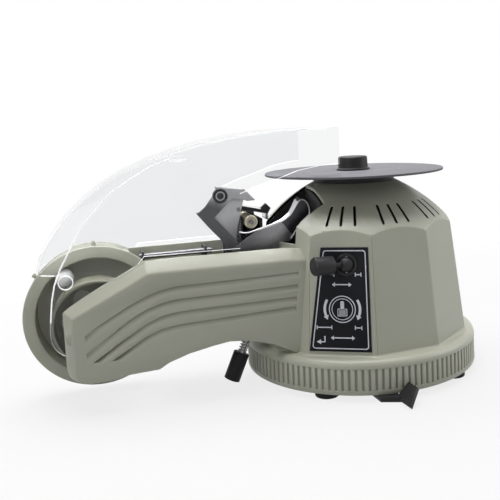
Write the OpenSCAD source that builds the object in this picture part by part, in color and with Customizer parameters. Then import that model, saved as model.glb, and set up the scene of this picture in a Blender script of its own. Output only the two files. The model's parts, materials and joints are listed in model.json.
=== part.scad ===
// Electric tape dispenser: round motor base with a turntable, and an arm with the tape reel.
// The origin is on the turntable axis at table level, +Z up, the arm points along -X.

/* [Base] */
// Outer radius of the ribbed base ring
base_r = 110; // [109:0.5:114]
// Number of upright ribs around the base ring
rib_count = 120; // [80:4:140]
// Depth of the grooves between the ribs
rib_depth = 1.5; // [0.8:0.1:1.8]
// Radius of the rubber pad under the middle
pad_r = 14; // [10:0.5:20]
// Radius of one rubber foot
foot_r = 10.5; // [8:0.5:10.5]

/* [Dome] */
// Corner radius of the dome at its upper edge
dome_corner_r = 91; // [90.5:0.1:91.5]
// Outward lean of the faces, radius gained per millimetre downwards
dome_lean = 0.112; // [0.105:0.001:0.118]
// Wall thickness of the dome
dome_wall = 2.5; // [2:0.1:3]
// Width of one ventilation slot
vent_w = 2.4; // [1.6:0.1:3]

/* [Width lever] */
// Radius of the knob on the width lever
lever_r = 7.9; // [7:0.1:8]

/* [Turntable] */
// Radius of the turntable disc
disc_r = 85; // [78:0.5:85.5]
// Thickness of the turntable disc
disc_t = 2; // [1.5:0.1:2]
// Radius of the knob on the turntable
knob_r = 14.25; // [12:0.25:16]
// Height of the knob on the turntable
knob_h = 13; // [10:0.5:14]

/* [Arm] */
// Depth of the front cover
cover_depth = 10.5; // [9.5:0.1:10.5]
// Wall thickness of the arm shells
arm_wall = 2.5; // [2:0.1:2.8]
// Width of one groove in the front cover
groove_w = 4.6; // [3:0.1:5.5]
// Depth of one groove in the front cover
groove_d = 1.6; // [0.8:0.1:1.8]

/* [Reel] */
// Radius of the hub that takes a three inch tape core
core_r = 37.5; // [36:0.1:38]
// Outer radius of the dish rim
dish_r = 62.3; // [61.6:0.1:62.5]

/* [Hood] */
// Wall thickness of the clear hood
hood_wall = 2; // [1.6:0.1:2.1]
// Half width of the hood at its hinge end
hood_half = 34.5; // [34.3:0.1:34.6]

/* [Head] */
// Radius of the pressure roller
press_r = 5.8; // [5:0.1:5.9]
// Radius of the feed roller
feed_r = 6.3; // [5.5:0.1:6.4]
// Number of curls of the adjuster spring
curls_long = 4; // [3:1:5]
// Number of curls of the presser spring
curls_short = 3; // [2:1:3]

/* [Hidden] */
$fn = 96;

skirt_top = 34.8;
dome_z0 = 34.8;
dome_edge_z = 134.5;
arc_c = [-34.4, 29.4];
arc_r = 165;
arc_from = 41;
arc_to = 63.6;
neck_z = 177.2;
mouth = [[-120, -45, 127.5], [-45, 12, 185]];
arm_faces = [[-68, 22], [-112, 22]];
side_faces = [[-29, 17], [5, 17], [39, 17], [73, 17], [107, 17], [141, 17], [175, 17], [-151, 17]];
feet_az = [-38, 38, 142, -142];
feet_ring = 98;
label_face = [-29, 17];
bezel_at = [4.6, 112.8];
bezel_r = 9.6;
socket_r = 8.1;
bore_r = 7.2;
ball_r = 6.8;
lever_lean = 52;
inlet_face = [175, 17];
rocker_face = [141, 17];
rear_z = 62;
shaft_r = 5;
run_gap = 0.05;
gear_m = 1.5;
gear_n = 60;
pinion_n = 15;
gear_dir = 45;
gear_dist = gear_m * (gear_n + pinion_n) / 2;
gear_z = 100;
gear_t = 6;
taper = 4.1;
cover_at = [-75, -60];
bevel = 9.5;
dish_at = [-245, 72.9];
hood_axis = [-265, 67];
hood_flare = 0.054;
pin_r = 2;
cutter_at = [-118, 160];
rollers_x = -106.5;
press_z = 147.5;
feed_z = 134.9;
adjust_at = [-123.15, -25, 30.15];
adjust_lean = 23.8;
head_front = -26;
head_rear = 18;
flange_w = 8;

cover_line = [[14, 34.9], [14, 122.5], [7.8, 124.9], [-10, 126.5], [-117.2, 126],
    [-131.2, 125.1], [-192.2, 94.1], [-200, 89], [-200, 43], [-195.8, 33.3], [-182, 28.2],
    [-160.4, 29.3], [-148.1, 32.1], [-123.4, 33.8], [-114.9, 38.8], [-97.8, 44.6],
    [-76.5, 49.1], [-63.5, 51.2], [-46.4, 50.1], [-39.5, 48.4], [-24.8, 44.1],
    [-11.8, 38.1], [-8, 34.9]];
grooves = [
    [[-1, 103.6], [-105, 101.2], [-118, 99.2], [-130, 95.2], [-144.2, 88.3], [-169.2, 74.1], [-186, 62.5]],
    [[-2.1, 93.2], [-105, 90.2], [-118, 88.2], [-130, 84.2], [-145.1, 75.7], [-161.9, 64], [-186, 48]],
    [[-3.5, 82.7], [-105, 79.6], [-118, 77.2], [-130, 72.6], [-154.4, 57.2], [-178, 42]],
    [[-4.8, 74], [-105, 68.6], [-118, 66.6], [-130, 62], [-153.5, 47.7], [-166, 40]]];
floor_line = [[-70, 35], [-80, 35], [-86.8, 38.1], [-99.7, 44.1], [-114.4, 48.4], [-121.3, 50.1],
    [-138.3, 51.2], [-151.3, 49.1], [-172.5, 44.6], [-189.6, 38.8]];
roof_line = [[-293, 112], [-291, 124], [-287, 135], [-280, 146], [-268, 161.5], [-252, 176],
    [-235, 188.5], [-216, 199], [-192, 208.5], [-168, 216], [-142, 222], [-112, 226.5],
    [-85, 229], [-55, 229.4], [0, 229.4]];
crease_line = [[-283, 40], [-283, 73.5], [-280, 98], [-277, 111], [-272, 123], [-265, 136],
    [-253, 157], [-228, 184], [-194, 204], [-186, 207], [-168, 213.2], [-142, 219.6],
    [-112, 224.3], [-85, 226.9], [0, 227.3]];
hood_keep = [[-283.2, 67], [-247.2, 67], [-222, 108], [-204, 128.6], [-122.5, 128.6],
    [-120, 176], [-107, 181], [-86, 187], [-68, 193], [-49, 196], [-32, 197], [10, 197.2],
    [10, 240], [-300, 240], [-300, 119.5], [-275.8, 117.5], [-277.3, 111], [-280.3, 98],
    [-283.2, 73.5]];
frame_line = [[-131, 97], [-112, 97], [-112, 112], [-119, 126.5], [-122.4, 133.4], [-140.9, 154.7],
    [-123.9, 171.1], [-113.3, 168.5], [-110.6, 167.4], [-103.3, 167.7], [-112.7, 178.2],
    [-116.3, 178.1], [-137.5, 181.8], [-140.6, 175], [-148.2, 165], [-155.6, 159],
    [-143.3, 143.3], [-132.5, 131]];
back_line = [[-127, 97], [-96, 97], [-94, 130], [-96, 152.5], [-106, 155.5], [-107, 163],
    [-112, 169.5], [-127, 172], [-131, 166], [-138, 158], [-143, 152], [-131, 139], [-127, 131]];
inner_line = [[-134, 104], [-114, 104], [-114, 120], [-121.6, 133.4], [-120, 143.9],
    [-113.3, 168.2], [-123.9, 171.1], [-140.9, 154.7], [-122.6, 134]];
guide_line = [[-126.4, 100], [-86.4, 100], [-83.4, 128.2], [-74, 128.2], [-72.7, 130.6], [-67.7, 137.5],
    [-62.6, 144.4], [-53.7, 151.1], [-54.3, 157.6], [-56.9, 163.3], [-61.6, 165.5],
    [-65.6, 161.2], [-71.7, 151.6], [-81.3, 146], [-104.8, 139.9], [-126.4, 126.5]];

function corner_r(z) = dome_corner_r + (dome_edge_z + 0.5 - z) * dome_lean;
function arc_pt(t, inset_d) = arc_c + (arc_r - inset_d) * [cos(t), sin(t)];
function unit(v) = v / norm(v);
function side_normal(a, b) = let (u = unit(b - a)) [-u[1], u[0]];
function inset(pts, d) = [for (i = [0 : len(pts) - 1])
    let (a = pts[(i + len(pts) - 1) % len(pts)],
        b = pts[i],
        c = pts[(i + 1) % len(pts)],
        n1 = side_normal(a, b),
        n2 = side_normal(b, c))
    b + d * (n1 + n2) / (1 + n1 * n2)];
function strip_side(pts, d) = [for (i = [0 : len(pts) - 1])
    let (b = pts[i],
        n1 = i == 0 ? side_normal(b, pts[1]) : side_normal(pts[i - 1], b),
        n2 = i == len(pts) - 1 ? n1 : side_normal(b, pts[i + 1]))
    b + d * (n1 + n2) / (1 + n1 * n2)];
function polar(r, a) = [r * cos(a), r * sin(a)];
function hood_w(x) = hood_half + (x + 280) * hood_flare;
function bevel_in(x) = 2 + 9 * min(1, max(0, (-x - 190) / 90));

// Upright prism: a drawing in the XZ plane made solid between two Y planes
module slab(pts, y0, y1) {
    translate([0, y1, 0])
        rotate([90, 0, 0])
            linear_extrude(y1 - y0)
                polygon(pts);
}

// Rod along Y between two Y planes
module rod_y(x, z, r, y0, y1) {
    translate([x, y1, z])
        rotate([90, 0, 0])
            cylinder(r = r, h = y1 - y0);
}

// Places its children on a dome face: outward is -Y, up along the face is +Z
module on_face(face, x, z, out) {
    tilt = atan(dome_lean * cos(face[1]));
    rotate([0, 0, face[0]])
        translate([x, -corner_r(z) * cos(face[1]), z])
            rotate([-tilt, 0, 0])
                translate([0, -out, 0])
                    children();
}

module outside_of_face(face, in_d) {
    on_face(face, 0, 80, -in_d)
        translate([-80, -60, -140])
            cube([160, 60, 280]);
}

module inside_of_face(face) {
    on_face(face, 0, 80, 0)
        translate([-150, 0, -140])
            cube([300, 200, 280]);
}

module dome_revolve(in_d) {
    rotate_extrude()
        polygon(concat([[0, dome_z0 - in_d], [corner_r(dome_z0) - in_d - 0.2, dome_z0 - in_d],
            [corner_r(dome_edge_z) - in_d - 0.2, dome_edge_z - in_d * 0.4]],
            [for (i = [0 : 9]) arc_pt(arc_from + (arc_to - arc_from) * i / 9, in_d)],
            [[0, arc_pt(arc_to, in_d)[1]]]));
}

module dome_form(in_d) {
    difference() {
        dome_revolve(in_d);
        for (f = arm_faces) outside_of_face(f, in_d);
        for (f = side_faces) outside_of_face(f, in_d);
    }
}

module vent_cutter(az) {
    len = norm([14.8, 14]);
    rotate([0, 0, az])
        translate([0, -75.2, 152.3])
            rotate([atan2(14, 14.8), 0, 0]) {
                cube([vent_w, len, 14], center = true);
                for (s = [-1, 1])
                    translate([0, s * len / 2, 0])
                        cylinder(d = vent_w, h = 14, center = true, $fn = 24);
            }
}

module base_skirt() {
    step = 360 / rib_count;
    rib_r = base_r - 0.2;
    low = base_r - rib_depth;
    color([0.72, 0.72, 0.68])
        difference() {
            union() {
                translate([0, 0, 5])
                    cylinder(r = base_r, h = 3.5);
                translate([0, 0, 8.5])
                    linear_extrude(19.5)
                        polygon([for (i = [0 : rib_count - 1])
                            for (p = [[rib_r, -0.28], [rib_r, 0.28], [low, 0.4], [low, 0.6]])
                                polar(p[0], (i + p[1]) * step)]);
                rotate_extrude()
                    polygon([[80, 28], [base_r, 28], [base_r - 0.5, 30.4], [base_r - 2, 32.5],
                        [base_r - 4.4, 34], [base_r - 7.4, skirt_top], [80, skirt_top]]);
            }
            translate([0, 0, 4])
                cylinder(r = 106.4, h = 4);
            translate([0, 0, 3])
                cylinder(r = 91, h = 40);
            rotate_extrude()
                polygon([[85, 11], [105.8, 11], [105.8, 29], [98, 32.3], [85, 32.3]]);
            for (a = feet_az)
                rotate([0, 0, a])
                    translate([0, -feet_ring, 4])
                        cylinder(r = 1.7, h = 12, $fn = 24);
        }
}

module base_plate() {
    color([0.16, 0.16, 0.17])
        difference() {
            translate([0, 0, 5])
                cylinder(r = 106.3, h = 3);
            for (a = feet_az)
                rotate([0, 0, a])
                    translate([0, -feet_ring, 4])
                        cylinder(r = 1.8, h = 5, $fn = 24);
            for (i = [-1 : 1])
                translate([i * 22 - 5, 32, 4])
                    cube([10, 22, 5]);
        }
}

module rubber_feet() {
    color([0.05, 0.05, 0.05]) {
        for (a = feet_az)
            rotate([0, 0, a])
                translate([0, -feet_ring, 0])
                    difference() {
                        cylinder(r = foot_r, h = 5);
                        translate([0, 0, -1])
                            cylinder(r = 4.2, h = 3.5);
                        cylinder(r = 1.8, h = 6, $fn = 24);
                    }
        cylinder(r = pad_r, h = 5);
    }
}

module base_screws() {
    color([0.7, 0.7, 0.72])
        for (a = feet_az)
            rotate([0, 0, a])
                translate([0, -feet_ring, 0]) {
                    translate([0, 0, 1.3])
                        cylinder(r = 3.6, h = 1.2);
                    translate([0, 0, 1.3])
                        cylinder(r = 1.68, h = 13, $fn = 24);
                }
}

module table_clip() {
    fold = [-8.8, -118.1];
    color([0.06, 0.06, 0.06]) {
        translate([0, 0, 0.6])
            linear_extrude(4.4)
                polygon([[-26, -92], [-24.7, -111.4], fold, [-6, -92]]);
        translate([fold[0], fold[1], 0.6])
            rotate([0, 0, 5])
                rotate([0, -42, 0])
                    difference() {
                        translate([0, -17, 0])
                            cube([17, 24, 2.6]);
                        translate([0, -17, -1])
                            rotate([0, 0, 30])
                                translate([0, -20, 0])
                                    cube([30, 20, 6]);
                    }
    }
}

module dome_housing() {
    color([0.72, 0.72, 0.68])
        difference() {
            dome_form(0);
            dome_form(dome_wall);
            translate([0, 0, 150])
                cylinder(r = 33, h = 40);
            for (f = side_faces)
                for (k = [-8.5, 0, 8.5])
                    vent_cutter(f[0] + k);
            translate(mouth[0])
                cube(mouth[1] - mouth[0]);
            on_face(label_face, bezel_at[0], bezel_at[1], 0)
                rotate([90, 0, 0])
                    cylinder(r = socket_r + 0.1, h = 20, center = true);
            on_face(inlet_face, 0, rear_z, 0)
                translate([-13.2, -5, -9.2])
                    cube([26.4, 20, 18.4]);
            on_face(rocker_face, 0, rear_z, 0)
                translate([-8.2, -5, -11.2])
                    cube([16.4, 20, 22.4]);
            for (a = [-99, -72])
                rotate([0, 0, a])
                    translate([0, -88, 70])
                        rotate([90, 0, 0])
                            cylinder(r = 6, h = 30, center = true);
        }
}

module label_panel() {
    color([0.07, 0.07, 0.08])
        on_face(label_face, 0, 83, 0.8)
            difference() {
                slab([[-28.9, -44.2], [24.8, -44.2], [23.4, 44.6], [-17.4, 44.6]], 0, 0.8);
                translate([bezel_at[0], 0, 29.98])
                    rotate([90, 0, 0])
                        cylinder(r = socket_r + 0.1, h = 6, center = true);
            }
}

module width_bezel() {
    color([0.8, 0.8, 0.82])
        on_face(label_face, bezel_at[0], bezel_at[1], 0)
            difference() {
                union() {
                    rotate([90, 0, 0])
                        cylinder(r = bezel_r, h = 1.6);
                    translate([0, 10, 0])
                        rotate([90, 0, 0])
                            cylinder(r = socket_r, h = 10);
                }
                translate([0, -0.8, 0])
                    rotate([-90, 0, 0])
                        difference() {
                            cylinder(r = 14, h = 0.8);
                            translate([0, 0, -1])
                                cylinder(r = socket_r + 0.05, h = 3);
                        }
                rotate([90, 0, 0])
                    cylinder(r = bore_r, h = 30, center = true);
                translate([0, 1, 0])
                    cylinder(r = 1.2, h = 30, center = true, $fn = 24);
            }
}

module width_pin() {
    color([0.75, 0.75, 0.77])
        on_face(label_face, bezel_at[0], bezel_at[1], 0)
            translate([0, 1, 0])
                cylinder(r = 1.2, h = 2 * socket_r - 0.4, center = true, $fn = 24);
}

module width_lever() {
    color([0.05, 0.05, 0.05])
        on_face(label_face, bezel_at[0], bezel_at[1], 0)
            translate([0, 1, 0])
                difference() {
                    union() {
                        sphere(r = ball_r);
                        rotate([0, 0, -lever_lean])
                            rotate([90, 0, 0]) {
                                cylinder(r = 2.2, h = 16);
                                translate([0, 0, 14])
                                    cylinder(r = lever_r, h = 16.5);
                                translate([0, 0, 30.5])
                                    cylinder(r1 = lever_r, r2 = lever_r - 1.2, h = 1.2);
                            }
                    }
                    cylinder(r = 1.25, h = 30, center = true, $fn = 24);
                }
}

module neck_ring() {
    color([0.05, 0.05, 0.05])
        rotate_extrude()
            polygon([[shaft_r + run_gap, 165], [12, 165], [12, 174], [32.8, 174],
                [32.8, neck_z], [38.7, neck_z], [38.7, 182.4], [38.1, 183], [shaft_r + run_gap, 183]]);
}

module turntable_disc() {
    color([0.6, 0.6, 0.62])
        difference() {
            union() {
                translate([0, 0, 187 - disc_t])
                    cylinder(r = disc_r, h = disc_t, $fn = 180);
                translate([0, 0, 183.4])
                    cylinder(r = 20, h = 3);
            }
            translate([0, 0, 180])
                cylinder(r = shaft_r, h = 10);
        }
}

module turntable_knob() {
    color([0.05, 0.05, 0.05])
        rotate_extrude()
            polygon([[0, 187], [knob_r + 1.6, 187], [knob_r + 1.6, 188.6], [knob_r, 188.8],
                [knob_r - 0.4, 186 + knob_h], [knob_r - 1.6, 187 + knob_h], [0, 187 + knob_h]]);
}

module turntable_shaft() {
    color([0.75, 0.75, 0.77])
        union() {
            translate([0, 0, 74])
                cylinder(r = shaft_r, h = 113);
            translate([0, 0, 76])
                cylinder(r = 8.5, h = 5.6);
        }
}

function involute(a) = tan(a) * 180 / PI - a;
function flank(n, r) = let (rb = n * gear_m * cos(20) / 2)
    90 / n - 0.12 / (n * gear_m / 2) * 180 / PI + involute(20) - involute(acos(min(1, rb / r)));
function gear_radii(n) = let (rp = n * gear_m / 2)
    [rp - 1.15 * gear_m, max(rp * cos(20), rp - 1.05 * gear_m), rp, rp + 0.9 * gear_m];
function gear_line(n) = let (r = gear_radii(n))
    [for (i = [0 : n - 1])
        for (p = [[r[0], -flank(n, r[1])], [r[1], -flank(n, r[1])], [r[2], -flank(n, r[2])],
            [r[3], -flank(n, r[3])], [r[3], flank(n, r[3])], [r[2], flank(n, r[2])],
            [r[1], flank(n, r[1])], [r[0], flank(n, r[1])]])
            polar(p[0], i * 360 / n + p[1])];

module turntable_gear() {
    color([0.9, 0.88, 0.8])
        difference() {
            union() {
                translate([0, 0, gear_z])
                    rotate([0, 0, gear_dir])
                        linear_extrude(gear_t)
                            polygon(gear_line(gear_n));
                translate([0, 0, 96.3])
                    cylinder(r = 12, h = 16);
            }
            translate([0, 0, 90])
                cylinder(r = shaft_r, h = 30);
            for (i = [0 : 5])
                rotate([0, 0, i * 60])
                    translate([27, 0, 95])
                        cylinder(r = 8, h = 15);
        }
}

module chassis_plate() {
    m = polar(gear_dist, gear_dir);
    color([0.7, 0.7, 0.72])
        difference() {
            union() {
                translate([0, 0, 88])
                    cylinder(r = 70, h = 2);
                for (a = [0, 90, 180, 270])
                    rotate([0, 0, a])
                        translate([62, 0, 8])
                            cylinder(r = 4, h = 81);
            }
            translate([0, 0, 80])
                cylinder(r = 9, h = 20);
            translate([m[0], m[1], 80])
                cylinder(r = 5, h = 20);
        }
}

module shaft_bush() {
    color([0.75, 0.6, 0.3])
        difference() {
            union() {
                translate([0, 0, 82])
                    cylinder(r = 9, h = 14);
                translate([0, 0, 90])
                    cylinder(r = 13, h = 2.5);
            }
            translate([0, 0, 80])
                cylinder(r = shaft_r + run_gap, h = 20);
        }
}

module drive_motor() {
    m = polar(gear_dist, gear_dir);
    color([0.45, 0.45, 0.47])
        translate([m[0], m[1], 46])
            difference() {
                union() {
                    cylinder(r = 18, h = 42);
                    translate([0, 0, -4])
                        cylinder(r = 7, h = 5);
                }
                translate([0, 0, 34])
                    cylinder(r = 2 + run_gap, h = 20, $fn = 32);
            }
}

module motor_pinion() {
    m = polar(gear_dist, gear_dir);
    color([0.8, 0.7, 0.4])
        translate([m[0], m[1], 0])
            union() {
                translate([0, 0, gear_z - 1])
                    rotate([0, 0, gear_dir + 180 + 180 / pinion_n])
                        linear_extrude(gear_t + 2)
                            polygon(gear_line(pinion_n));
                translate([0, 0, 81])
                    cylinder(r = 2, h = 28, $fn = 32);
                translate([0, 0, 96])
                    cylinder(r = 6, h = 4);
            }
}

module transformer() {
    color([0.35, 0.33, 0.3])
        translate([12, -52, 8]) {
            difference() {
                cube([62, 34, 38]);
                for (x = [14, 40])
                    translate([x, -1, 9])
                        cube([8, 36, 20]);
            }
            translate([15, -5, 10])
                cube([32, 44, 18]);
        }
}

module control_board() {
    color([0.1, 0.35, 0.15])
        union() {
            translate([-54, -30, 16])
                cube([46, 60, 1.6]);
            for (x = [-50, -12], y = [-25, 25])
                translate([x, y, 8])
                    cylinder(r = 3, h = 9, $fn = 32);
            translate([-46, -18, 17])
                cube([18, 14, 9]);
            translate([-18, -14, 17])
                cylinder(r = 6, h = 16);
            translate([-46, 6, 17])
                cube([26, 10, 5]);
            translate([-14, 6, 17])
                cylinder(r = 4, h = 11);
        }
}

module power_inlet() {
    color([0.05, 0.05, 0.05])
        on_face(inlet_face, 0, rear_z, 0)
            difference() {
                union() {
                    translate([-16, -2, -12])
                        cube([32, 2, 24]);
                    translate([-13, 0, -9])
                        cube([26, 16, 18]);
                }
                difference() {
                    translate([-11, -3, -7])
                        cube([22, 15, 14]);
                    for (p = [[-6, -1], [6, -1], [0, 3]])
                        translate([p[0] - 0.7, 5, p[1] - 1.5])
                            cube([1.4, 8, 3]);
                }
            }
}

module rocker_frame() {
    color([0.05, 0.05, 0.05])
        on_face(rocker_face, 0, rear_z, 0)
            difference() {
                union() {
                    translate([-10.5, -2, -13.5])
                        cube([21, 2, 27]);
                    translate([-8, 0, -11])
                        cube([16, 15, 22]);
                }
                translate([-6.4, -3, -9.4])
                    cube([12.8, 14, 18.8]);
                translate([-20, 3.2, 0])
                    rotate([0, 90, 0])
                        cylinder(r = 1.3, h = 40, $fn = 24);
            }
}

module power_rocker() {
    color([0.6, 0.05, 0.05])
        on_face(rocker_face, 0, rear_z, 0)
            translate([0, 3.2, 0])
                rotate([-7, 0, 0])
                    union() {
                        translate([-6, 0, 0])
                            rotate([90, 0, 90])
                                linear_extrude(12)
                                    polygon([[3, -4], [-3, -8.2], [-6.6, -8], [-4.6, 0], [-6.6, 8],
                                        [-3, 8.2], [3, 4]]);
                        translate([-8, 0, 0])
                            rotate([0, 90, 0])
                                cylinder(r = 1.25, h = 16, $fn = 24);
                    }
}

module mouth_liner() {
    lo = [-92, -44.8, 117.5];
    hi = [-45.2, 11.8, 176];
    color([0.04, 0.04, 0.04])
        intersection() {
            dome_form(dome_wall + 0.1);
            difference() {
                translate(lo)
                    cube(hi - lo);
                translate(lo + [-10, 1.6, 1.6])
                    cube(hi - lo + [8.4, -3.2, 20]);
            }
        }
}

module cover_form(line, depth, chamfer) {
    difference() {
        slab(line, 0, depth);
        for (i = [1 : 7]) {
            q = line[i];
            p = line[i + 1];
            turn = atan2(q[1] - p[1], q[0] - p[0]);
            translate([p[0], chamfer + 0.2 * (i % 2), p[1]])
                rotate([0, -turn, 0])
                    rotate([45, 0, 0])
                        translate([-30, -60, 0])
                            cube([norm(q - p) + 60, 120, 40]);
        }
    }
}

module on_cover() {
    translate([cover_at[0], cover_at[1], 0])
        rotate([0, 0, -taper])
            children();
}

module groove_cutter() {
    half = groove_w / 2;
    intersection() {
        translate([-181, -1, 46])
            cube([190, groove_d + 1, 70]);
        for (g = grooves)
            slab(concat(strip_side(g, half), [for (i = [len(g) - 1 : -1 : 0]) strip_side(g, -half)[i]]),
                -2, groove_d);
    }
}

module arm_front_cover() {
    color([0.72, 0.72, 0.68])
        difference() {
            union() {
                on_cover()
                    difference() {
                        cover_form(cover_line, cover_depth, bevel);
                        translate([0, arm_wall, 0])
                            cover_form(inset(cover_line, arm_wall), cover_depth,
                                bevel + 0.41 * arm_wall - arm_wall);
                        groove_cutter();
                    }
                rod_y(hood_axis[0], hood_axis[1], 6, -44.2, -36.1);
            }
            rod_y(hood_axis[0], hood_axis[1], 2.5, -42, -30);
            rod_y(hood_axis[0], hood_axis[1], 46, -37.7, -30);
            inside_of_face(arm_faces[0]);
        }
}

module arm_body() {
    rear = 31;
    inner = rear - arm_wall;
    color([0.72, 0.72, 0.68])
        difference() {
            union() {
                slab([[-70, 35], [-70, 108], [-92, 126], [-214, 126], [-245, 100], [-200, 41], [-189.6, 38.8],
                    [-172.5, 44.6], [-151.3, 49.1], [-138.3, 51.2], [-121.3, 50.1], [-114.4, 48.4],
                    [-99.7, 44.1], [-86.8, 38.1], [-80, 35]], inner, rear);
                rod_y(dish_at[0], dish_at[1], 61.5, inner, rear);
                difference() {
                    rod_y(dish_at[0], dish_at[1], 61.5, 2.6, rear);
                    rod_y(dish_at[0], dish_at[1], 59, 0, inner);
                    slab([[-213.5, 140], [-213.5, 125], [-192, 43], [-192, 30], [-150, 30], [-150, 140]],
                        0, inner);
                }
                slab(concat(floor_line, [for (i = [len(floor_line) - 1 : -1 : 0])
                    floor_line[i] + [0, arm_wall]]), -62, inner);
                rod_y(hood_axis[0], hood_axis[1], 6, rear - 1, 32.6);
                for (a = [89.1, 141.8])
                    translate([dish_at[0], 10, dish_at[1]])
                        rotate([0, 90 - a, 0])
                            translate([0, 0, 60])
                                cylinder(r = 2, h = 5.4, $fn = 24);
            }
            on_cover()
                translate([-260, -60, -10])
                    cube([400, 60 + cover_depth, 200]);
            inside_of_face(arm_faces[0]);
            inside_of_face(arm_faces[1]);
            slab([[-310, 106], [-266, 106], [-266, 117.4], [-264, 117.4], [-264, 140], [-310, 140]],
                23.6, 40);
            rod_y(hood_axis[0], hood_axis[1], 2.5, 26, 40);
            translate(adjust_at)
                rotate([0, adjust_lean, 0])
                    cylinder(r = 6, h = 40);
        }
}

module reel_dish() {
    color([0.7, 0.7, 0.66])
        difference() {
            union() {
                rod_y(dish_at[0], dish_at[1], dish_r, 0, 2.5);
                rod_y(dish_at[0], dish_at[1], 54.3, 0, 28.4);
            }
            difference() {
                rod_y(dish_at[0], dish_at[1], 51.8, -1, 26);
                rod_y(dish_at[0], dish_at[1], 10, 12, 30);
            }
            rod_y(dish_at[0], dish_at[1], 4, -1, 30);
        }
}

module reel_spindle() {
    color([0.75, 0.75, 0.77])
        union() {
            rod_y(dish_at[0], dish_at[1], 4, -31, 28.4);
            rod_y(dish_at[0], dish_at[1], 9, -32.6, -30.4);
        }
}

module core_hub() {
    color([0.25, 0.25, 0.26])
        difference() {
            union() {
                difference() {
                    rod_y(dish_at[0], dish_at[1], core_r, -30, -3);
                    rod_y(dish_at[0], dish_at[1], core_r - 2.2, -31, -2);
                }
                rod_y(dish_at[0], dish_at[1], core_r - 1, -13, -10.5);
                rod_y(dish_at[0], dish_at[1], 9, -30, -1);
            }
            rod_y(dish_at[0], dish_at[1], 4 + run_gap, -40, 10);
            for (i = [0 : 5])
                translate([dish_at[0], -5, dish_at[1]])
                    rotate([0, i * 60, 0])
                        translate([22, 0, 0])
                            rotate([90, 0, 0])
                                cylinder(r = 8, h = 12);
        }
}

module dome_stud() {
    color([0.8, 0.8, 0.82])
        translate([-270.5, 0, 108.5])
            intersection() {
                rod_y(0, 0, 8.5, -4, 26);
                translate([0, 6.4, 0])
                    union() {
                        sphere(r = 8.2);
                        rod_y(0, 0, 7.4, 0, 22);
                    }
            }
}

module hood_points(roof, crease, side_in) {
    pts = concat([for (p = roof) for (s = [-1, 1])
        [p[0], s * (hood_w(p[0]) - bevel_in(p[0]) - side_in * 0.6), p[1]]],
        [for (p = crease) for (s = [-1, 1])
            [p[0], s * (hood_w(p[0]) - side_in), p[1]]],
        [for (s = [-1, 1]) [0, s * (hood_w(0) - side_in), 40]]);
    hull()
        polyhedron(points = pts, faces = [for (i = [0 : len(pts) - 3]) [i, i + 1, i + 2]]);
}

module clear_hood() {
    n = len(roof_line);
    m = len(crease_line);
    roof_in = inset(concat(roof_line, [[0, 30], [-293, 30]]), -hood_wall);
    crease_in = inset(concat(crease_line, [[0, 30], [-283, 30]]), -hood_wall);
    color([0.85, 0.9, 0.92, 0.35])
        difference() {
            intersection() {
                difference() {
                    hood_points(roof_line, crease_line, 0);
                    hood_points([for (i = [0 : n - 1]) i == n - 1 ? roof_in[i] + [8, 0] : roof_in[i]],
                        [for (i = [0 : m - 1]) i == m - 1 ? crease_in[i] + [8, 0] : crease_in[i]],
                        hood_wall);
                    translate([0, 0, 30])
                        linear_extrude(88.5)
                            polygon([for (p = [[-300, -1], [-150, -1], [-150, 1], [-300, 1]])
                                [p[0], p[1] * (hood_w(p[0]) - hood_wall + 0.05)]]);
                }
                union() {
                    slab(hood_keep, -70, 70);
                    rod_y(hood_axis[0], hood_axis[1], 17.8, -70, 70);
                }
            }
            translate([-30, -48, 150])
                rotate([0, 0, 6.5])
                    translate([0, -30, 0])
                        cube([80, 160, 100]);
            rod_y(hood_axis[0], hood_axis[1], 3 + run_gap, -70, 70);
        }
}

module hood_pivots() {
    color([0.75, 0.75, 0.77])
        union() {
            rod_y(hood_axis[0], hood_axis[1], 3, -36.1, -32);
            rod_y(hood_axis[0], hood_axis[1], 2.4, -41, -36);
            rod_y(hood_axis[0], hood_axis[1], 5.5, -32.6, -31);
            rod_y(hood_axis[0], hood_axis[1], 3, 32.6, 37);
            rod_y(hood_axis[0], hood_axis[1], 2.4, 28.6, 33);
            rod_y(hood_axis[0], hood_axis[1], 5.5, 36.4, 38.4);
        }
}

module guide_rod() {
    color([0.85, 0.85, 0.87])
        translate([-205, 12, 120])
            rotate([0, 90, 0])
                cylinder(r = 2.5, h = 66);
}

module rod_brackets() {
    color([0.6, 0.6, 0.62])
        difference() {
            for (x = [-203, -146])
                translate([x, 8, 112])
                    cube([2, 20.5, 12.5]);
            translate([-210, 12, 120])
                rotate([0, 90, 0])
                    cylinder(r = 2.5, h = 90);
        }
}

module head_bracket() {
    color([0.55, 0.55, 0.57])
        difference() {
            union() {
                translate([-140, -24, 58])
                    cube([44, 2, 52]);
                translate([-140, 14, 58])
                    cube([44, 2, 52]);
                translate([-140, -24, 58])
                    cube([36, 40, 2]);
                for (p = [[-134, 53.6], [-109, 50.4]])
                    translate([p[0], -1, p[1]])
                        cylinder(r = 4, h = 59 - p[1]);
            }
            on_adjuster()
                translate([-8.5, -8.5, -5])
                    cube([17, 17, 67]);
        }
}

module head_frame() {
    color([0.5, 0.5, 0.52])
        difference() {
            union() {
                slab(frame_line, head_front, head_front + 2);
                slab(back_line, head_rear - 2, head_rear);
                slab([[-137.5, 181.8], [-137.8, 179.8], [-116.6, 176.1], [-116.3, 178.1]],
                    head_front + 1, head_front + flange_w);
                slab([[-155.6, 159], [-144.8, 145.2], [-143.2, 146.4], [-154, 160.2]],
                    head_front + 1, head_front + flange_w);
            }
            rod_y(cutter_at[0], cutter_at[1], pin_r, 0, 30);
            rod_y(rollers_x, press_z, pin_r, 0, 30);
            rod_y(rollers_x, feed_z, pin_r, 0, 30);
            rod_y(-136.2, 174.6, 2.5, -40, 0);
        }
}

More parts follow.
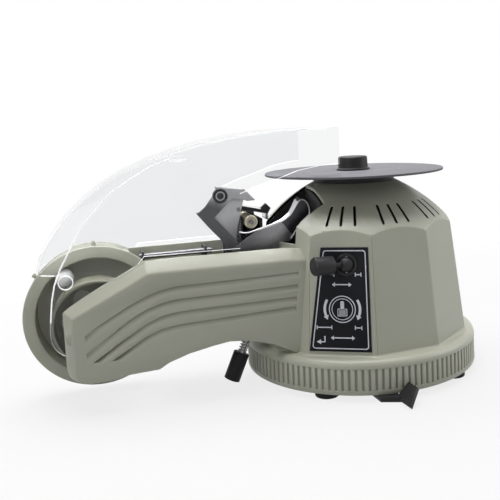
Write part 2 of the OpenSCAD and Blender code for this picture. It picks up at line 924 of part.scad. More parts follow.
module inner_plate() {
    color([0.7, 0.7, 0.72])
        difference() {
            slab(inner_line, -22, -20.5);
            rod_y(cutter_at[0], cutter_at[1], pin_r, -30, 0);
        }
}

module side_guide() {
    color([0.55, 0.55, 0.57])
        slab(guide_line, -27.8, -26);
}

module head_pins() {
    color([0.75, 0.75, 0.77])
        union() {
            rod_y(cutter_at[0], cutter_at[1], pin_r, -22, 18);
            rod_y(rollers_x, press_z, pin_r, -20.5, 18);
            rod_y(rollers_x, feed_z, pin_r, -20.5, 18);
        }
}

module feed_roller() {
    color([0.1, 0.1, 0.1])
        difference() {
            rod_y(rollers_x, feed_z, feed_r, -20, 14);
            rod_y(rollers_x, feed_z, pin_r + run_gap, -40, 30);
            for (y = [-14 : 6 : 10])
                difference() {
                    rod_y(rollers_x, feed_z, feed_r + 1, y, y + 1.5);
                    rod_y(rollers_x, feed_z, feed_r - 0.8, y - 1, y + 3);
                }
        }
}

module pressure_roller() {
    color([0.85, 0.82, 0.7])
        difference() {
            rod_y(rollers_x, press_z, press_r, -20, 14);
            rod_y(rollers_x, press_z, pin_r + run_gap, -40, 30);
            rod_y(rollers_x, press_z, press_r - 1.4, -21, -18.8);
        }
}

module roller_posts() {
    color([0.05, 0.05, 0.05])
        union() {
            slab([[-116.6, 134], [-114.4, 134], [-113.2, 152], [-115.4, 152]], -17, 16);
            slab([[-99.4, 130], [-96.8, 130], [-96.2, 150], [-99, 150]], -20, 16);
        }
}

module cutter_arm() {
    color([0.1, 0.1, 0.1])
        difference() {
            union() {
                rod_y(cutter_at[0], cutter_at[1], 3.6, -19.5, 14);
                slab([[-118, 163.4], [-118, 160], [-90.5, 153.6], [-90, 156.6]], -18, 9);
                slab([[-96, 155], [-90.4, 154], [-87.6, 158.6], [-92, 163.2], [-96.5, 159.5]], -18, -14.5);
            }
            rod_y(cutter_at[0], cutter_at[1], pin_r + run_gap, -40, 30);
        }
}

module cutter_blade() {
    width = 23.2;
    tooth = width / 8;
    color([0.85, 0.85, 0.87])
        translate([-89.95, -14.2, 0])
            rotate([90, 0, 90])
                linear_extrude(0.8)
                    polygon(concat([[0, 157], [0, 149]],
                        [for (i = [0 : 7]) for (p = [[0.5, 147.2], [1, 149]])
                            [(i + p[0]) * tooth, p[1]]],
                        [[width, 157]]));
}

module presser_screw() {
    color([0.12, 0.12, 0.12])
        union() {
            rod_y(-136.2, 174.6, 2.5, -35, -23);
            rod_y(-136.2, 174.6, 6.4, -36.4, -34.4);
        }
}

function coil_pts(r, wire, z0, z1, curls, rings) =
    let (c0 = z0 + 2.2 * wire, c1 = z1 - 2.2 * wire, n = curls * rings, pitch = (c1 - c0) / n)
    concat([[0, z0], [0, z0 + wire], [0.12 * 360 / rings, z0 + 1.8 * wire]],
        [for (i = [1 : n - 1]) [i * 360 / rings, c0 + pitch * i]],
        [[(n - 0.12) * 360 / rings, z1 - 1.8 * wire], [n * 360 / rings, z1 - wire],
            [n * 360 / rings, z1]]);
function coil_xyz(r, pts) = [for (p = pts) [r * cos(p[0]), r * sin(p[0]), p[1]]];
function tube_rings(path, angles, rad, sides) = [for (i = [0 : len(path) - 1])
    let (a = path[max(0, i - 1)],
        b = path[min(len(path) - 1, i + 1)],
        t = i == 0 || i == len(path) - 1 ? [0, 0, 1] : unit(b - a),
        n = [cos(angles[i]), sin(angles[i]), 0],
        k = cross(t, n))
    for (j = [0 : sides - 1])
        path[i] + rad * (cos(j * 360 / sides) * n + sin(j * 360 / sides) * unit(k))];
function tube_faces(count, sides) = concat(
    [for (j = [1 : sides - 2]) [0, j + 1, j]],
    [for (i = [0 : count - 2]) for (j = [0 : sides - 1])
        let (k = (j + 1) % sides, a = i * sides + j, b = i * sides + k, c = a + sides, d = b + sides)
            [a, b, d]],
    [for (i = [0 : count - 2]) for (j = [0 : sides - 1])
        let (k = (j + 1) % sides, a = i * sides + j, b = i * sides + k, c = a + sides, d = b + sides)
            [a, d, c]],
    [for (j = [1 : sides - 2]) let (s = (count - 1) * sides) [s, s + j, s + j + 1]]);

module coil(r, wire, z0, z1, curls) {
    pts = coil_pts(r, wire, z0, z1, curls, 8);
    path = coil_xyz(r, pts);
    gap = min([for (i = [0 : len(path) - 9]) norm(path[i + 8] - path[i])]) - wire;
    echo(str("least gap between curls, mm: ", gap));
    polyhedron(points = tube_rings(path, [for (p = pts) p[0]], wire / 2, 6),
        faces = tube_faces(len(path), 6));
}

module presser_spring() {
    color([0.08, 0.08, 0.08])
        translate([-136.2, -26, 174.6])
            rotate([90, 0, 0])
                coil(4.9, 1.2, 0.02, 8.38, curls_short);
}

module feed_motor() {
    color([0.45, 0.45, 0.47])
        union() {
            rod_y(-126, 90, 13, -21.5, 13.5);
            rod_y(-126, 90, 4, -22, 14);
        }
}

module on_adjuster() {
    translate(adjust_at)
        rotate([0, adjust_lean, 0])
            children();
}

module length_bush() {
    color([0.1, 0.1, 0.1])
        on_adjuster()
            difference() {
                union() {
                    translate([0, 0, 17])
                        cylinder(r = 6, h = 13);
                    translate([0, 0, 17])
                        cylinder(r = 7.4, h = 2);
                }
                translate([0, 0, 10])
                    cylinder(r = 2.5 + run_gap, h = 30);
            }
}

module length_rod() {
    color([0.7, 0.7, 0.72])
        on_adjuster()
            translate([0, 0, -10])
                cylinder(r = 2.5, h = 66);
}

module length_knob() {
    color([0.05, 0.05, 0.05])
        on_adjuster()
            difference() {
                translate([0, 0, -25])
                    union() {
                        linear_extrude(25)
                            polygon([for (i = [0 : 29]) for (p = [[7.2, -0.3], [7.2, 0.3], [6.6, 0.5]])
                                polar(p[0], (i + p[1]) * 12)]);
                        cylinder(r = 6.7, h = 25.3);
                    }
                translate([0, 0, -10])
                    cylinder(r = 2.5, h = 20);
            }
}

module length_spring() {
    color([0.12, 0.12, 0.12])
        on_adjuster()
            coil(3.7, 1, 0.7, 16.98, curls_long);
}

module length_stop() {
    color([0.75, 0.6, 0.3])
        on_adjuster()
            difference() {
                translate([-6, -6, 42])
                    cube([12, 12, 7]);
                cylinder(r = 2.5 + run_gap, h = 60);
            }
}

module stop_guide() {
    color([0.55, 0.55, 0.57])
        on_adjuster()
            difference() {
                translate([-8.5, -8.5, 36])
                    cube([17, 13, 19]);
                translate([-6.4, -6.4, 30])
                    cube([12.8, 20, 30]);
            }
}

base_skirt();
base_plate();
rubber_feet();
base_screws();
table_clip();
dome_housing();
label_panel();
width_bezel();
width_pin();
width_lever();
neck_ring();
turntable_disc();
turntable_knob();
turntable_shaft();
turntable_gear();
chassis_plate();
shaft_bush();
drive_motor();
motor_pinion();
transformer();
control_board();
power_inlet();
rocker_frame();
power_rocker();
mouth_liner();
arm_body();
arm_front_cover();
reel_dish();
reel_spindle();
core_hub();
dome_stud();
clear_hood();
hood_pivots();
guide_rod();
rod_brackets();
head_bracket();
head_frame();
inner_plate();
side_guide();
head_pins();
feed_roller();
pressure_roller();
roller_posts();
cutter_arm();
cutter_blade();
presser_screw();
presser_spring();
feed_motor();
length_bush();
length_rod();
length_knob();
length_spring();
length_stop();
stop_guide();
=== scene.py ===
import math

import bmesh
import bpy
from mathutils import Matrix, Vector
from mathutils.bvhtree import BVHTree
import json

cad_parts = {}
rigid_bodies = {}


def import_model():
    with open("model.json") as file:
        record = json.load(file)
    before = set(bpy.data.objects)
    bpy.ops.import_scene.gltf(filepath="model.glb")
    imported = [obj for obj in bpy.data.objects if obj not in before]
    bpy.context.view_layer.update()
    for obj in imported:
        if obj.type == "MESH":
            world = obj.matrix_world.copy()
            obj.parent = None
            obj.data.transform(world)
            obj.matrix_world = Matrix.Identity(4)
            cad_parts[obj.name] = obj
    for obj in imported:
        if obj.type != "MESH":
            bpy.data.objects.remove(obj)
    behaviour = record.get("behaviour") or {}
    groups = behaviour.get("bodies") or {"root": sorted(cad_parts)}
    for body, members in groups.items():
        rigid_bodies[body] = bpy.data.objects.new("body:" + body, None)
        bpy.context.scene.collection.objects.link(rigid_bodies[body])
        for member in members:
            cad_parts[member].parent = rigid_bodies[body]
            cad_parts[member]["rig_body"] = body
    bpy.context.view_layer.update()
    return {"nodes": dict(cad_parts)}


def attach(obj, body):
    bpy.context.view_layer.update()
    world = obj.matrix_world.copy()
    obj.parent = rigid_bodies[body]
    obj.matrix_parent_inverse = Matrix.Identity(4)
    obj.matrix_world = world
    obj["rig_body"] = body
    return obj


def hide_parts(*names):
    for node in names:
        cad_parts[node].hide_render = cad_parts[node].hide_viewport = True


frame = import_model()

# Camera. It stands left of the dispenser, a little above the turntable, and looks down at it
# by six degrees, as the photograph was taken. The shift puts the object where it is in the frame.
picture_width = 500
focal_length = 719.7
right = Vector((0.9573, -0.2854, -0.0456)).normalized()
forward = Vector((0.2796, 0.9544, -0.1043)).normalized()
upward = right.cross(forward)
camera = bpy.data.objects.new("camera", bpy.data.cameras.new("camera"))
bpy.context.scene.collection.objects.link(camera)
camera.matrix_world = Matrix.Translation((-0.2418, -0.6486, 0.2377)) @ Matrix(
    (
        (right.x, upward.x, -forward.x, 0),
        (right.y, upward.y, -forward.y, 0),
        (right.z, upward.z, -forward.z, 0),
        (0, 0, 0, 1),
    )
)
camera.data.sensor_width = 36
camera.data.lens = focal_length / picture_width * camera.data.sensor_width
camera.data.shift_x = -52.4 / picture_width
camera.data.shift_y = -55.7 / picture_width
camera.data.clip_start = 0.02
camera.data.clip_end = 30
bpy.context.scene.camera = camera
bpy.context.scene.view_settings.view_transform = "Standard"


# Studio. A pale sweep of board under the dispenser, a wide soft lamp above and behind it and a
# weak one at each side. The board takes the shadow, and the far background is plain white.
class Wire:
    """A socket of a shader tree. Sums and products of wires add the Math nodes they stand for."""

    def __init__(self, tree, socket):
        self.tree = tree
        self.socket = socket

    def add(self, kind, settings=None, inputs=None, out=0):
        node = self.tree.nodes.new(kind)
        for name, value in (settings or {}).items():
            setattr(node, name, value)
        for key, value in (inputs or {}).items():
            if isinstance(value, Wire):
                self.tree.links.new(value.socket, node.inputs[key])
            else:
                node.inputs[key].default_value = value
        return None if out is None else Wire(self.tree, node.outputs[out])

    def maths(self, operation, *values):
        return self.add("ShaderNodeMath", {"operation": operation}, dict(enumerate(values)))

    def __add__(self, other):
        return self.maths("ADD", self, other)

    def __mul__(self, other):
        return self.maths("MULTIPLY", self, other)

    __radd__ = __add__
    __rmul__ = __mul__

    def noise(self, scale, detail):
        """Cloudy noise over the places that this wire gives."""
        return self.add("ShaderNodeTexNoise", inputs={"Vector": self, "Scale": scale, "Detail": detail})

    def bump(self, strength, distance):
        """The normal of a surface that has this wire as its height."""
        settings = {"Strength": strength, "Distance": distance, "Height": self}
        return self.add("ShaderNodeBump", inputs=settings)

    def mix(self, low, high):
        """The colour low where this wire is 0 and high where it is 1."""
        return self.add(
            "ShaderNodeMix", {"data_type": "RGBA"}, {"Factor": self, 6: low, 7: high}, 2
        )


def paint(red, green, blue):
    """A colour read as 0 to 255 on a screen, in the linear values that the shaders take."""
    linear = (((c / 255 + 0.055) / 1.055) ** 2.4 if c > 10 else c / 3294.6 for c in (red, green, blue))
    return (*linear, 1)


def new_finish(name):
    """An empty material, its shader and the wire of its places on the object."""
    material = bpy.data.materials.new(name)
    material.use_nodes = True
    tree = material.node_tree
    tree.nodes.clear()
    shader = tree.nodes.new("ShaderNodeBsdfPrincipled")
    output = tree.nodes.new("ShaderNodeOutputMaterial")
    tree.links.new(shader.outputs[0], output.inputs[0])
    place = Wire(tree, None).add("ShaderNodeTexCoord", out="Object")
    return material, shader, place


def feed(shader, **wires):
    """Links wires to the shader's sockets; a plain value is set on the socket itself."""
    for name, value in wires.items():
        socket = shader.inputs[name.replace("_", " ")]
        if isinstance(value, Wire):
            value.tree.links.new(value.socket, socket)
        else:
            socket.default_value = value


def in_sight(wire):
    """1 where the camera looks, straight, by reflection or through clear plastic, and 0 for light."""
    straight, mirrored, through = (
        wire.add("ShaderNodeLightPath", out=f"Is {kind} Ray") for kind in ("Camera", "Glossy", "Transmission")
    )
    direct = straight + mirrored
    return direct.maths("MAXIMUM", direct, through)


white = (1, 1, 1, 1)
world = bpy.data.worlds.new("studio")
bpy.context.scene.world = world
world.use_nodes = True
world.node_tree.nodes.clear()
sky = Wire(world.node_tree, None)
dim = sky.add("ShaderNodeBackground", inputs={"Color": white, "Strength": 0.10})
bright = sky.add("ShaderNodeBackground", inputs={"Color": white, "Strength": 1.0})
sky_mix = sky.add("ShaderNodeMixShader", inputs={0: in_sight(sky), 1: dim, 2: bright})
sky.add("ShaderNodeOutputWorld", inputs={"Surface": sky_mix}, out=None)

bpy.ops.object.select_all(action="DESELECT")
board_drop = 0.0002
bpy.ops.mesh.primitive_circle_add(vertices=64, radius=2.5, fill_type="NGON", location=(0, 0, -board_drop))
table_top = bpy.context.object
table_top.name = "table_top"
table_finish, table_shader, table_place = new_finish("pale_board")
middle = table_place.add("ShaderNodeVectorMath", {"operation": "LENGTH"}, {0: table_place}, 1)
fade_from, fade_to, least_white = 0.25, 0.7, 0.8
fade = middle.add("ShaderNodeMapRange", {"interpolation_type": "SMOOTHSTEP"},
    {0: middle, 1: fade_from, 2: fade_to, 3: least_white, 4: 1.0})
glow = fade.add("ShaderNodeEmission", inputs={"Color": white, "Strength": 1.0})
board = Wire(glow.tree, table_shader.outputs[0])
feed(table_shader, Base_Color=(0.42, 0.42, 0.42, 1), Roughness=0.9, Specular_IOR_Level=0.1)
top_mix = fade.add("ShaderNodeMixShader", inputs={0: fade * in_sight(fade), 1: board, 2: glow})
for node in glow.tree.nodes:
    if node.type == "OUTPUT_MATERIAL":
        glow.tree.links.new(top_mix.socket, node.inputs[0])
table_top.data.materials.append(table_finish)

for lamp_name, place, aim, size, power in (
    ("overhead", (-0.15, 0.28, 1.35), (-0.1, 0.05, 0.0), 1.3, 46),
    ("right_side", (1.3, -0.35, 0.6), (0.0, 0.0, 0.1), 0.8, 7),
    ("left_side", (-1.3, -0.6, 0.6), (-0.1, 0.0, 0.1), 0.8, 4),
):
    lamp = bpy.data.lights.new(lamp_name, "AREA")
    lamp.shape = "SQUARE"
    lamp.size = size
    lamp.energy = power
    lamp_object = bpy.data.objects.new(lamp_name, lamp)
    bpy.context.scene.collection.objects.link(lamp_object)
    lamp_object.location = place
    lamp_object.rotation_euler = (Vector(aim) - Vector(place)).to_track_quat("-Z", "Y").to_euler()


# Base ring. A moulded ring of the same grey-green plastic as the dome: 120 upright battens stand
# between a plain band at the foot and a rounded shoulder, and the dome is moulded in one with it.
def casing_plastic(name, tone=(170, 171, 157), deep=(160, 161, 146), gloss=0.3):
    """Moulded plastic with a fine grain, whose colour drifts between two tones."""
    material, shader, place = new_finish(name)
    drift = place.noise(14.0, 3.0)
    grain = place.noise(1400.0, 2.0)
    smear = place.noise(60.0, 5.0)
    bump = grain.bump(0.06, 0.0003)
    feed(
        shader,
        Base_Color=drift.mix(paint(*deep), paint(*tone)),
        Roughness=gloss + 0.12 * smear + 0.05 * grain,
        Normal=bump,
        IOR=1.5,
    )
    return material


def dress(piece, material):
    """Gives a piece or a CAD node one finish all over."""
    if not piece.material_slots:
        piece.data.materials.append(material)
    for each in piece.material_slots:
        each.material = material


def pick(*pieces):
    """Selects these objects alone. The last one is the one that edit mode opens."""
    bpy.ops.object.select_all(action="DESELECT")
    for piece in pieces:
        piece.select_set(True)
        bpy.context.view_layer.objects.active = piece


def start(primitive, name, **settings):
    """Adds a primitive at its size and place and opens it in edit mode."""
    pick()
    getattr(bpy.ops.mesh, f"primitive_{primitive}_add")(**settings)
    piece = bpy.context.object
    piece.name = name
    bpy.ops.object.transform_apply(location=True, rotation=True, scale=True)
    bpy.ops.object.mode_set(mode="EDIT")
    return piece


def choose(kind, test):
    """Selects the faces, edges or verts of the mesh in edit mode that pass the test."""
    piece = bpy.context.object
    bpy.ops.mesh.select_mode(type=kind.upper())
    bpy.ops.mesh.select_all(action="DESELECT")
    form = bmesh.from_edit_mesh(piece.data)
    form.normal_update()
    for item in {"face": form.faces, "edge": form.edges, "vert": form.verts}[kind]:
        if test(item):
            item.select_set(True)
    form.select_flush_mode()
    bmesh.update_edit_mesh(piece.data)


def middle_of(item):
    """The middle of a face's or an edge's corners."""
    return sum((corner.co for corner in item.verts), Vector()) / len(item.verts)


def reach(point):
    """How far a point stands from the turntable's axis."""
    return math.hypot(point.x, point.y)


def finish_piece(piece, material, body, replaced=(), smooth=35):
    """Leaves edit mode, smooths the round faces, gives the piece its finish and body and hides the CAD nodes
    that it stands for.
    """
    if bpy.context.mode != "OBJECT":
        bpy.ops.object.mode_set(mode="OBJECT")
    pick(piece)
    bpy.ops.object.shade_smooth_by_angle(angle=math.radians(smooth))
    if material:
        piece.data.materials.clear()
        piece.data.materials.append(material)
    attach(piece, body)
    if replaced:
        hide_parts(*replaced)
    return piece


def join(name, pieces):
    """One object out of several."""
    pick(*pieces)
    bpy.ops.object.join()
    whole = bpy.context.object
    whole.name = name
    return whole


casing = casing_plastic("casing_plastic")
ring_r, ring_foot, ring_top = 0.110, 0.005, 0.0348
shoulder_bevel, foot_bevel = 0.0069, 0.0008
top_width, foot_width, foot_recess, floor_width = 0.0111, 0.0029, 0.003, 0.0143
band_top, batten_top = 0.0088, 0.0276
gap_rim, gap_depth = 0.0003, 0.0014
batten_count = 120
batten_wide, batten_deep, batten_out = 0.0040, 0.0028, 0.0016
crown_at = (0, -ring_r + 0.0022, batten_top)

ring = start("cylinder", "base_ring", vertices=240, radius=ring_r, depth=ring_top - ring_foot,
    location=(0, 0, (ring_top + ring_foot) / 2))
choose("edge", lambda e: all(v.co.z > ring_top - 1e-5 for v in e.verts))
bpy.ops.mesh.bevel(offset=shoulder_bevel, segments=8, profile=0.55)
choose("edge", lambda e: all(v.co.z < ring_foot + 1e-5 for v in e.verts))
bpy.ops.mesh.bevel(offset=foot_bevel, segments=2)
for height in (band_top, batten_top):
    bpy.ops.mesh.select_all(action="SELECT")
    bpy.ops.mesh.bisect(plane_co=(0, 0, height), plane_no=(0, 0, 1))
choose("face", lambda f: abs(f.normal.z) < 0.05 and band_top < middle_of(f).z < batten_top)
bpy.ops.mesh.inset(thickness=gap_rim, depth=-gap_depth)
gap_shade = casing_plastic("gap_shade", tone=(142, 143, 130), deep=(130, 131, 119), gloss=0.5)
for finish in (casing, gap_shade):
    ring.data.materials.append(finish)
ring.active_material_index = 1
bpy.ops.object.material_slot_assign()
choose("face", lambda f: f.normal.z > 0.99 and len(f.verts) > 8)
bpy.ops.mesh.inset(thickness=top_width)
bpy.ops.mesh.delete(type="FACE")
choose("face", lambda f: f.normal.z < -0.99 and len(f.verts) > 8)
bpy.ops.mesh.inset(thickness=foot_width)
bpy.ops.mesh.extrude_region_move(TRANSFORM_OT_translate={"value": (0, 0, foot_recess)})
bpy.ops.mesh.inset(thickness=floor_width)
bpy.ops.mesh.delete(type="FACE")
choose("edge", lambda e: e.is_boundary)
bpy.ops.mesh.bridge_edge_loops()
bpy.ops.object.mode_set(mode="OBJECT")

batten = start("cube", "batten", size=1, scale=(batten_wide, batten_deep, batten_top - band_top + 0.0004),
    location=(0, -ring_r + batten_out, (batten_top + band_top) / 2 + 0.0002))
batten.data.materials.append(casing)
choose("edge", lambda e: all(v.co.y < -ring_r + 0.001 for v in e.verts)
    and abs(e.verts[0].co.x - e.verts[1].co.x) < 1e-5)
bpy.ops.mesh.bevel(offset=0.0010, segments=3)
choose("face", lambda f: f.normal.z > 0.9)
bpy.ops.mesh.extrude_region_move(TRANSFORM_OT_translate={"value": (0, 0, 0.0006)})
bpy.ops.transform.resize(value=(0.72, 0.8, 1), center_override=crown_at)
bpy.ops.mesh.extrude_region_move(TRANSFORM_OT_translate={"value": (0, 0.0002, 0.0003)})
bpy.ops.transform.resize(value=(0.6, 0.7, 1), center_override=crown_at)
bpy.ops.object.mode_set(mode="OBJECT")
battens = []
for number in range(batten_count):
    each = batten.copy()
    each.data = batten.data.copy()
    each.data.transform(Matrix.Rotation(math.tau * number / batten_count, 4, "Z"))
    bpy.context.scene.collection.objects.link(each)
    battens.append(each)
bpy.data.objects.remove(batten)
ring = join("base_ring", [*battens, ring])
finish_piece(ring, None, "base", ["base_skirt"], smooth=40)


# Underside. A black sheet closes the ring, and four rubber feet and a middle pad are screwed
# and glued to it. A bent tongue of black plastic sticks out in front as a table clip.
flat_angle = math.radians(0.6)


def traced(node, name):
    """A copy of a CAD node as whole faces, open in edit mode."""
    piece = bpy.data.objects.new(name, frame["nodes"][node].data.copy())
    bpy.context.scene.collection.objects.link(piece)
    pick(piece)
    bpy.ops.object.mode_set(mode="EDIT")
    bpy.ops.mesh.select_all(action="SELECT")
    bpy.ops.mesh.remove_doubles(threshold=0.00002)
    bpy.ops.mesh.dissolve_limited(angle_limit=flat_angle)
    return piece


def soften(node, name, width, material, steps=2, sharp=28):
    """Stands for a CAD node: the same form, with its moulded or pressed edges rounded off."""
    piece = traced(node, name)
    limit = math.radians(sharp)
    choose("edge", lambda e: e.calc_face_angle(0) > limit)
    bpy.ops.mesh.bevel(offset=width, segments=steps, clamp_overlap=True)
    return finish_piece(piece, material, frame["nodes"][node]["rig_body"], [node], smooth=32)


def moulded_black(name, tone=(27, 27, 28), rough=0.42, grain_size=1600.0, grain_depth=0.12):
    """Black plastic or rubber with a moulded grain and lighter worn places."""
    material, shader, place = new_finish(name)
    grain = place.noise(grain_size, 2.0)
    wear = place.noise(45.0, 4.0)
    bump = grain.bump(grain_depth, 0.0003)
    light = tuple(c + 9 for c in tone)
    feed(
        shader,
        Base_Color=wear.mix(paint(*tone), paint(*light)),
        Roughness=rough + 0.15 * wear,
        Normal=bump,
        Specular_IOR_Level=0.22,
    )
    return material


black_plastic = moulded_black("black_plastic")
rubber = moulded_black("rubber", tone=(22, 22, 22), rough=0.7, grain_size=2600.0, grain_depth=0.3)


def metal(name, tone, rough=0.3, depth=0.05, dulling=0.15):
    """Bare or plated metal with fine marks and a dulling haze."""
    material, shader, place = new_finish(name)
    marks = place.noise(900.0, 3.0)
    haze = place.noise(70.0, 4.0)
    bump = marks.bump(depth, 0.0002)
    dark = tuple(int(c * 0.86) for c in tone)
    colour = haze.mix(paint(*dark), paint(*tone))
    feed(shader, Base_Color=colour, Roughness=rough + dulling * haze, Metallic=1.0, Normal=bump)
    return material


zinc = metal("zinc_steel", (176, 176, 178), rough=0.38, dulling=0.2)
chrome = metal("chrome", (214, 214, 217), rough=0.08, depth=0.01, dulling=0.06)
dark_chrome = metal("dark_chrome", (112, 112, 114), rough=0.12, depth=0.01, dulling=0.06)
blued_steel = metal("blued_steel", (70, 70, 72), rough=0.28)
brass = metal("brass", (196, 160, 92), rough=0.28)

soften("base_plate", "bottom_sheet", 0.0004, black_plastic, steps=1)
soften("rubber_feet", "feet", 0.0012, rubber, steps=3)
dress(frame["nodes"]["base_screws"], zinc)
soften("table_clip", "table_tongue", 0.0007, black_plastic)


# Dome. One thin moulding in the casing's plastic: a round top over ten flat sides, two of them at
# the arm, with air slots above and a wide mouth. It sits on the ring with a small round fillet.
dome_lean = 0.112
dome_corner_r, dome_edge_z = 0.091, 0.1345
neck_hole_r, half_wall = 0.034, 0.0012
side_azimuths, side_half = [-29, 5, 39, 73, 107, 141, 175, -151], 17
arm_azimuths, arm_half = [-68, -112], 22


def corner_radius(z):
    """How far the dome's upright edges stand from the axis at a height."""
    return dome_corner_r + (dome_edge_z + 0.0005 - z) * dome_lean


def foot_radius(angle, z):
    """The dome's outline at a height: round corners with a flat across each side."""
    best = corner_radius(z) - 0.0002
    for azimuth, half in [(a, side_half) for a in side_azimuths] + [(a, arm_half) for a in arm_azimuths]:
        off = angle - math.radians(azimuth - 90)
        if math.cos(off) > 0.3:
            best = min(best, corner_radius(z) * math.cos(math.radians(half)) / math.cos(off))
    return best


def away_from_vents(point):
    """False in the band of the dome that the air slots are cut through."""
    return not (0.1425 < point.z < 0.163 and 0.062 < reach(point) < 0.086)


def outside(point):
    """True on the dome's outer faces and edges, away from its neck and its inner wall."""
    side = foot_radius(math.atan2(point.y, point.x), min(point.z, dome_edge_z))
    return reach(point) > neck_hole_r and (point.z > 0.147 or reach(point) > side - half_wall)


dome = traced("dome_housing", "dome_shell")
bpy.ops.mesh.remove_doubles(threshold=0.0003)
bpy.ops.mesh.dissolve_limited(angle_limit=flat_angle)
choose("edge", lambda e: e.calc_face_angle(0) > math.radians(9) and e.is_convex
    and away_from_vents(middle_of(e)) and outside(middle_of(e))
    and all(f.normal.dot(middle_of(f)) > 0 for f in e.link_faces))
bpy.ops.mesh.bevel(offset=0.0007, segments=2, clamp_overlap=False)
finish_piece(dome, casing, "base", ["dome_housing"], 32)
bpy.ops.object.modifier_add(type="WEIGHTED_NORMAL")
dome.modifiers[-1].keep_sharp = True
bpy.ops.object.modifier_apply(modifier=dome.modifiers[-1].name)
dome.data.materials.append(moulded_black("vent_shade", tone=(16, 16, 15), rough=0.8))
for face in dome.data.polygons:
    spot = face.center
    outward = Vector((spot.x, spot.y, 0.7 * reach(spot))).normalized()
    if 0.1405 < spot.z < 0.165 and 0.056 < reach(spot) < 0.088 and face.normal.dot(outward) < 0.55:
        face.material_index = 1

fillet = start("circle", "dome_foot", vertices=360, radius=0.1, fill_type="NOTHING", location=(0, 0, 0.0375))
fillet_r = 0.0027
shoulder_r, shoulder_from = 0.0068, 0.1032
fillet_steps = 5
for turn in range(fillet_steps + 1):
    if turn:
        bpy.ops.mesh.extrude_region_move()
    form = bmesh.from_edit_mesh(fillet.data)
    swing = math.radians(90 * turn / fillet_steps)
    out, lift = fillet_r * (1 - math.cos(swing)), fillet_r * (1 - math.sin(swing))
    for corner in form.verts:
        if corner.select:
            angle = math.atan2(corner.co.y, corner.co.x)
            level = ring_top + lift
            radius = foot_radius(angle, level) - 0.0001 + out
            drop = shoulder_r - math.sqrt(max(0, shoulder_r**2 - max(0, radius - shoulder_from) ** 2))
            corner.co = (radius * math.cos(angle), radius * math.sin(angle), level - drop)
    bmesh.update_edit_mesh(fillet.data)
bpy.ops.mesh.select_all(action="SELECT")
bpy.ops.mesh.normals_make_consistent(inside=False)
bpy.ops.object.mode_set(mode="OBJECT")
pick(fillet)
bpy.ops.object.modifier_add(type="SOLIDIFY")
fillet.modifiers[-1].thickness = 0.0004
fillet.modifiers[-1].offset = -1
bpy.ops.object.modifier_apply(modifier=fillet.modifiers[-1].name)
finish_piece(fillet, casing, "base", smooth=50)
soften("mouth_liner", "mouth_lining", 0.0005, black_plastic)


# Label, width lever and its socket. A black printed panel is stuck on the dome's front side. The
# lever's ball turns on a pin in a dark plated ring, and its stem ends in a turned black knob.
label_film, film_shader, film_place = new_finish("label_film")
film_noise = film_place.noise(2200.0, 2.0)
film_bump = film_noise.bump(0.08, 0.0002)
feed(
    film_shader,
    Base_Color=film_noise.mix(paint(12, 13, 17), paint(18, 19, 24)),
    Roughness=0.5 + 0.1 * film_noise,
    Normal=film_bump,
    Specular_IOR_Level=0.15,
)
soften("label_panel", "label_plate", 0.0002, label_film, steps=2)

print_white, print_shader, print_place = new_finish("print_white")
print_noise = print_place.noise(900.0, 3.0)
print_tone = print_noise.mix(paint(196, 198, 208), paint(222, 223, 230))
feed(print_shader, Base_Color=print_tone, Roughness=0.5 + 0.1 * print_noise)

label_z, label_thick = 0.083, 0.0008
label_half = math.cos(math.radians(side_half))
label_face = (
    Matrix.Rotation(math.radians(side_azimuths[0]), 4, "Z")
    @ Matrix.Translation((0, -corner_radius(label_z) * label_half, label_z))
    @ Matrix.Rotation(-math.atan(dome_lean * label_half), 4, "X")
    @ Matrix.Translation((0, -label_thick, 0))
)


def printed(name, outline, hole=None):
    """A flat mark of print: its outline is in millimetres across and up the label."""
    points = [(u / 1000, 0.00005, v / 1000) for u, v in outline]
    back = [(u / 1000, 0.00005, v / 1000) for u, v in (hole or [])]
    mark = bpy.data.objects.new(name, bpy.data.meshes.new(name))
    count = len(points)
    if hole:
        faces = [(i, (i + 1) % count, count + (i + 1) % count, count + i) for i in range(count)]
    else:
        faces = [tuple(range(count))]
    mark.data.from_pydata(points + back, [], faces)
    bpy.context.scene.collection.objects.link(mark)
    pick(mark)
    bpy.ops.object.modifier_add(type="SOLIDIFY")
    mark.modifiers[-1].thickness = 0.00022
    mark.modifiers[-1].offset = 0
    bpy.ops.object.modifier_apply(modifier=mark.modifiers[-1].name)
    bpy.ops.object.mode_set(mode="EDIT")
    bpy.ops.mesh.select_all(action="SELECT")
    bpy.ops.mesh.normals_make_consistent(inside=False)
    bpy.ops.object.mode_set(mode="OBJECT")
    mark.data.transform(label_face)
    return mark


def ring_points(radius, centre, first=0, last=360, steps=48):
    """Points on a circle, or on the part of it between two angles."""
    count = steps if last - first == 360 else steps + 1
    turns = [math.radians(first + (last - first) * i / steps) for i in range(count)]
    return [(centre[0] + radius * math.cos(turn), centre[1] + radius * math.sin(turn)) for turn in turns]


def rounded(corners, radius, steps=6):
    """A closed outline with its corners rounded."""
    points = []
    for i, corner in enumerate(corners):
        before, here, after = (Vector(corners[(i + k) % len(corners)]) for k in (-1, 0, 1))
        toward, onward = (before - here).normalized(), (after - here).normalized()
        half = toward.angle(onward) / 2
        run = radius / math.tan(half)
        centre = here + (toward + onward).normalized() * radius / math.sin(half)
        a, b = here + toward * run - centre, here + onward * run - centre
        for k in range(steps + 1):
            spoke = (a * (1 - k / steps) + b * (k / steps)).normalized() * radius
            points.append(tuple(centre + spoke))
    return points


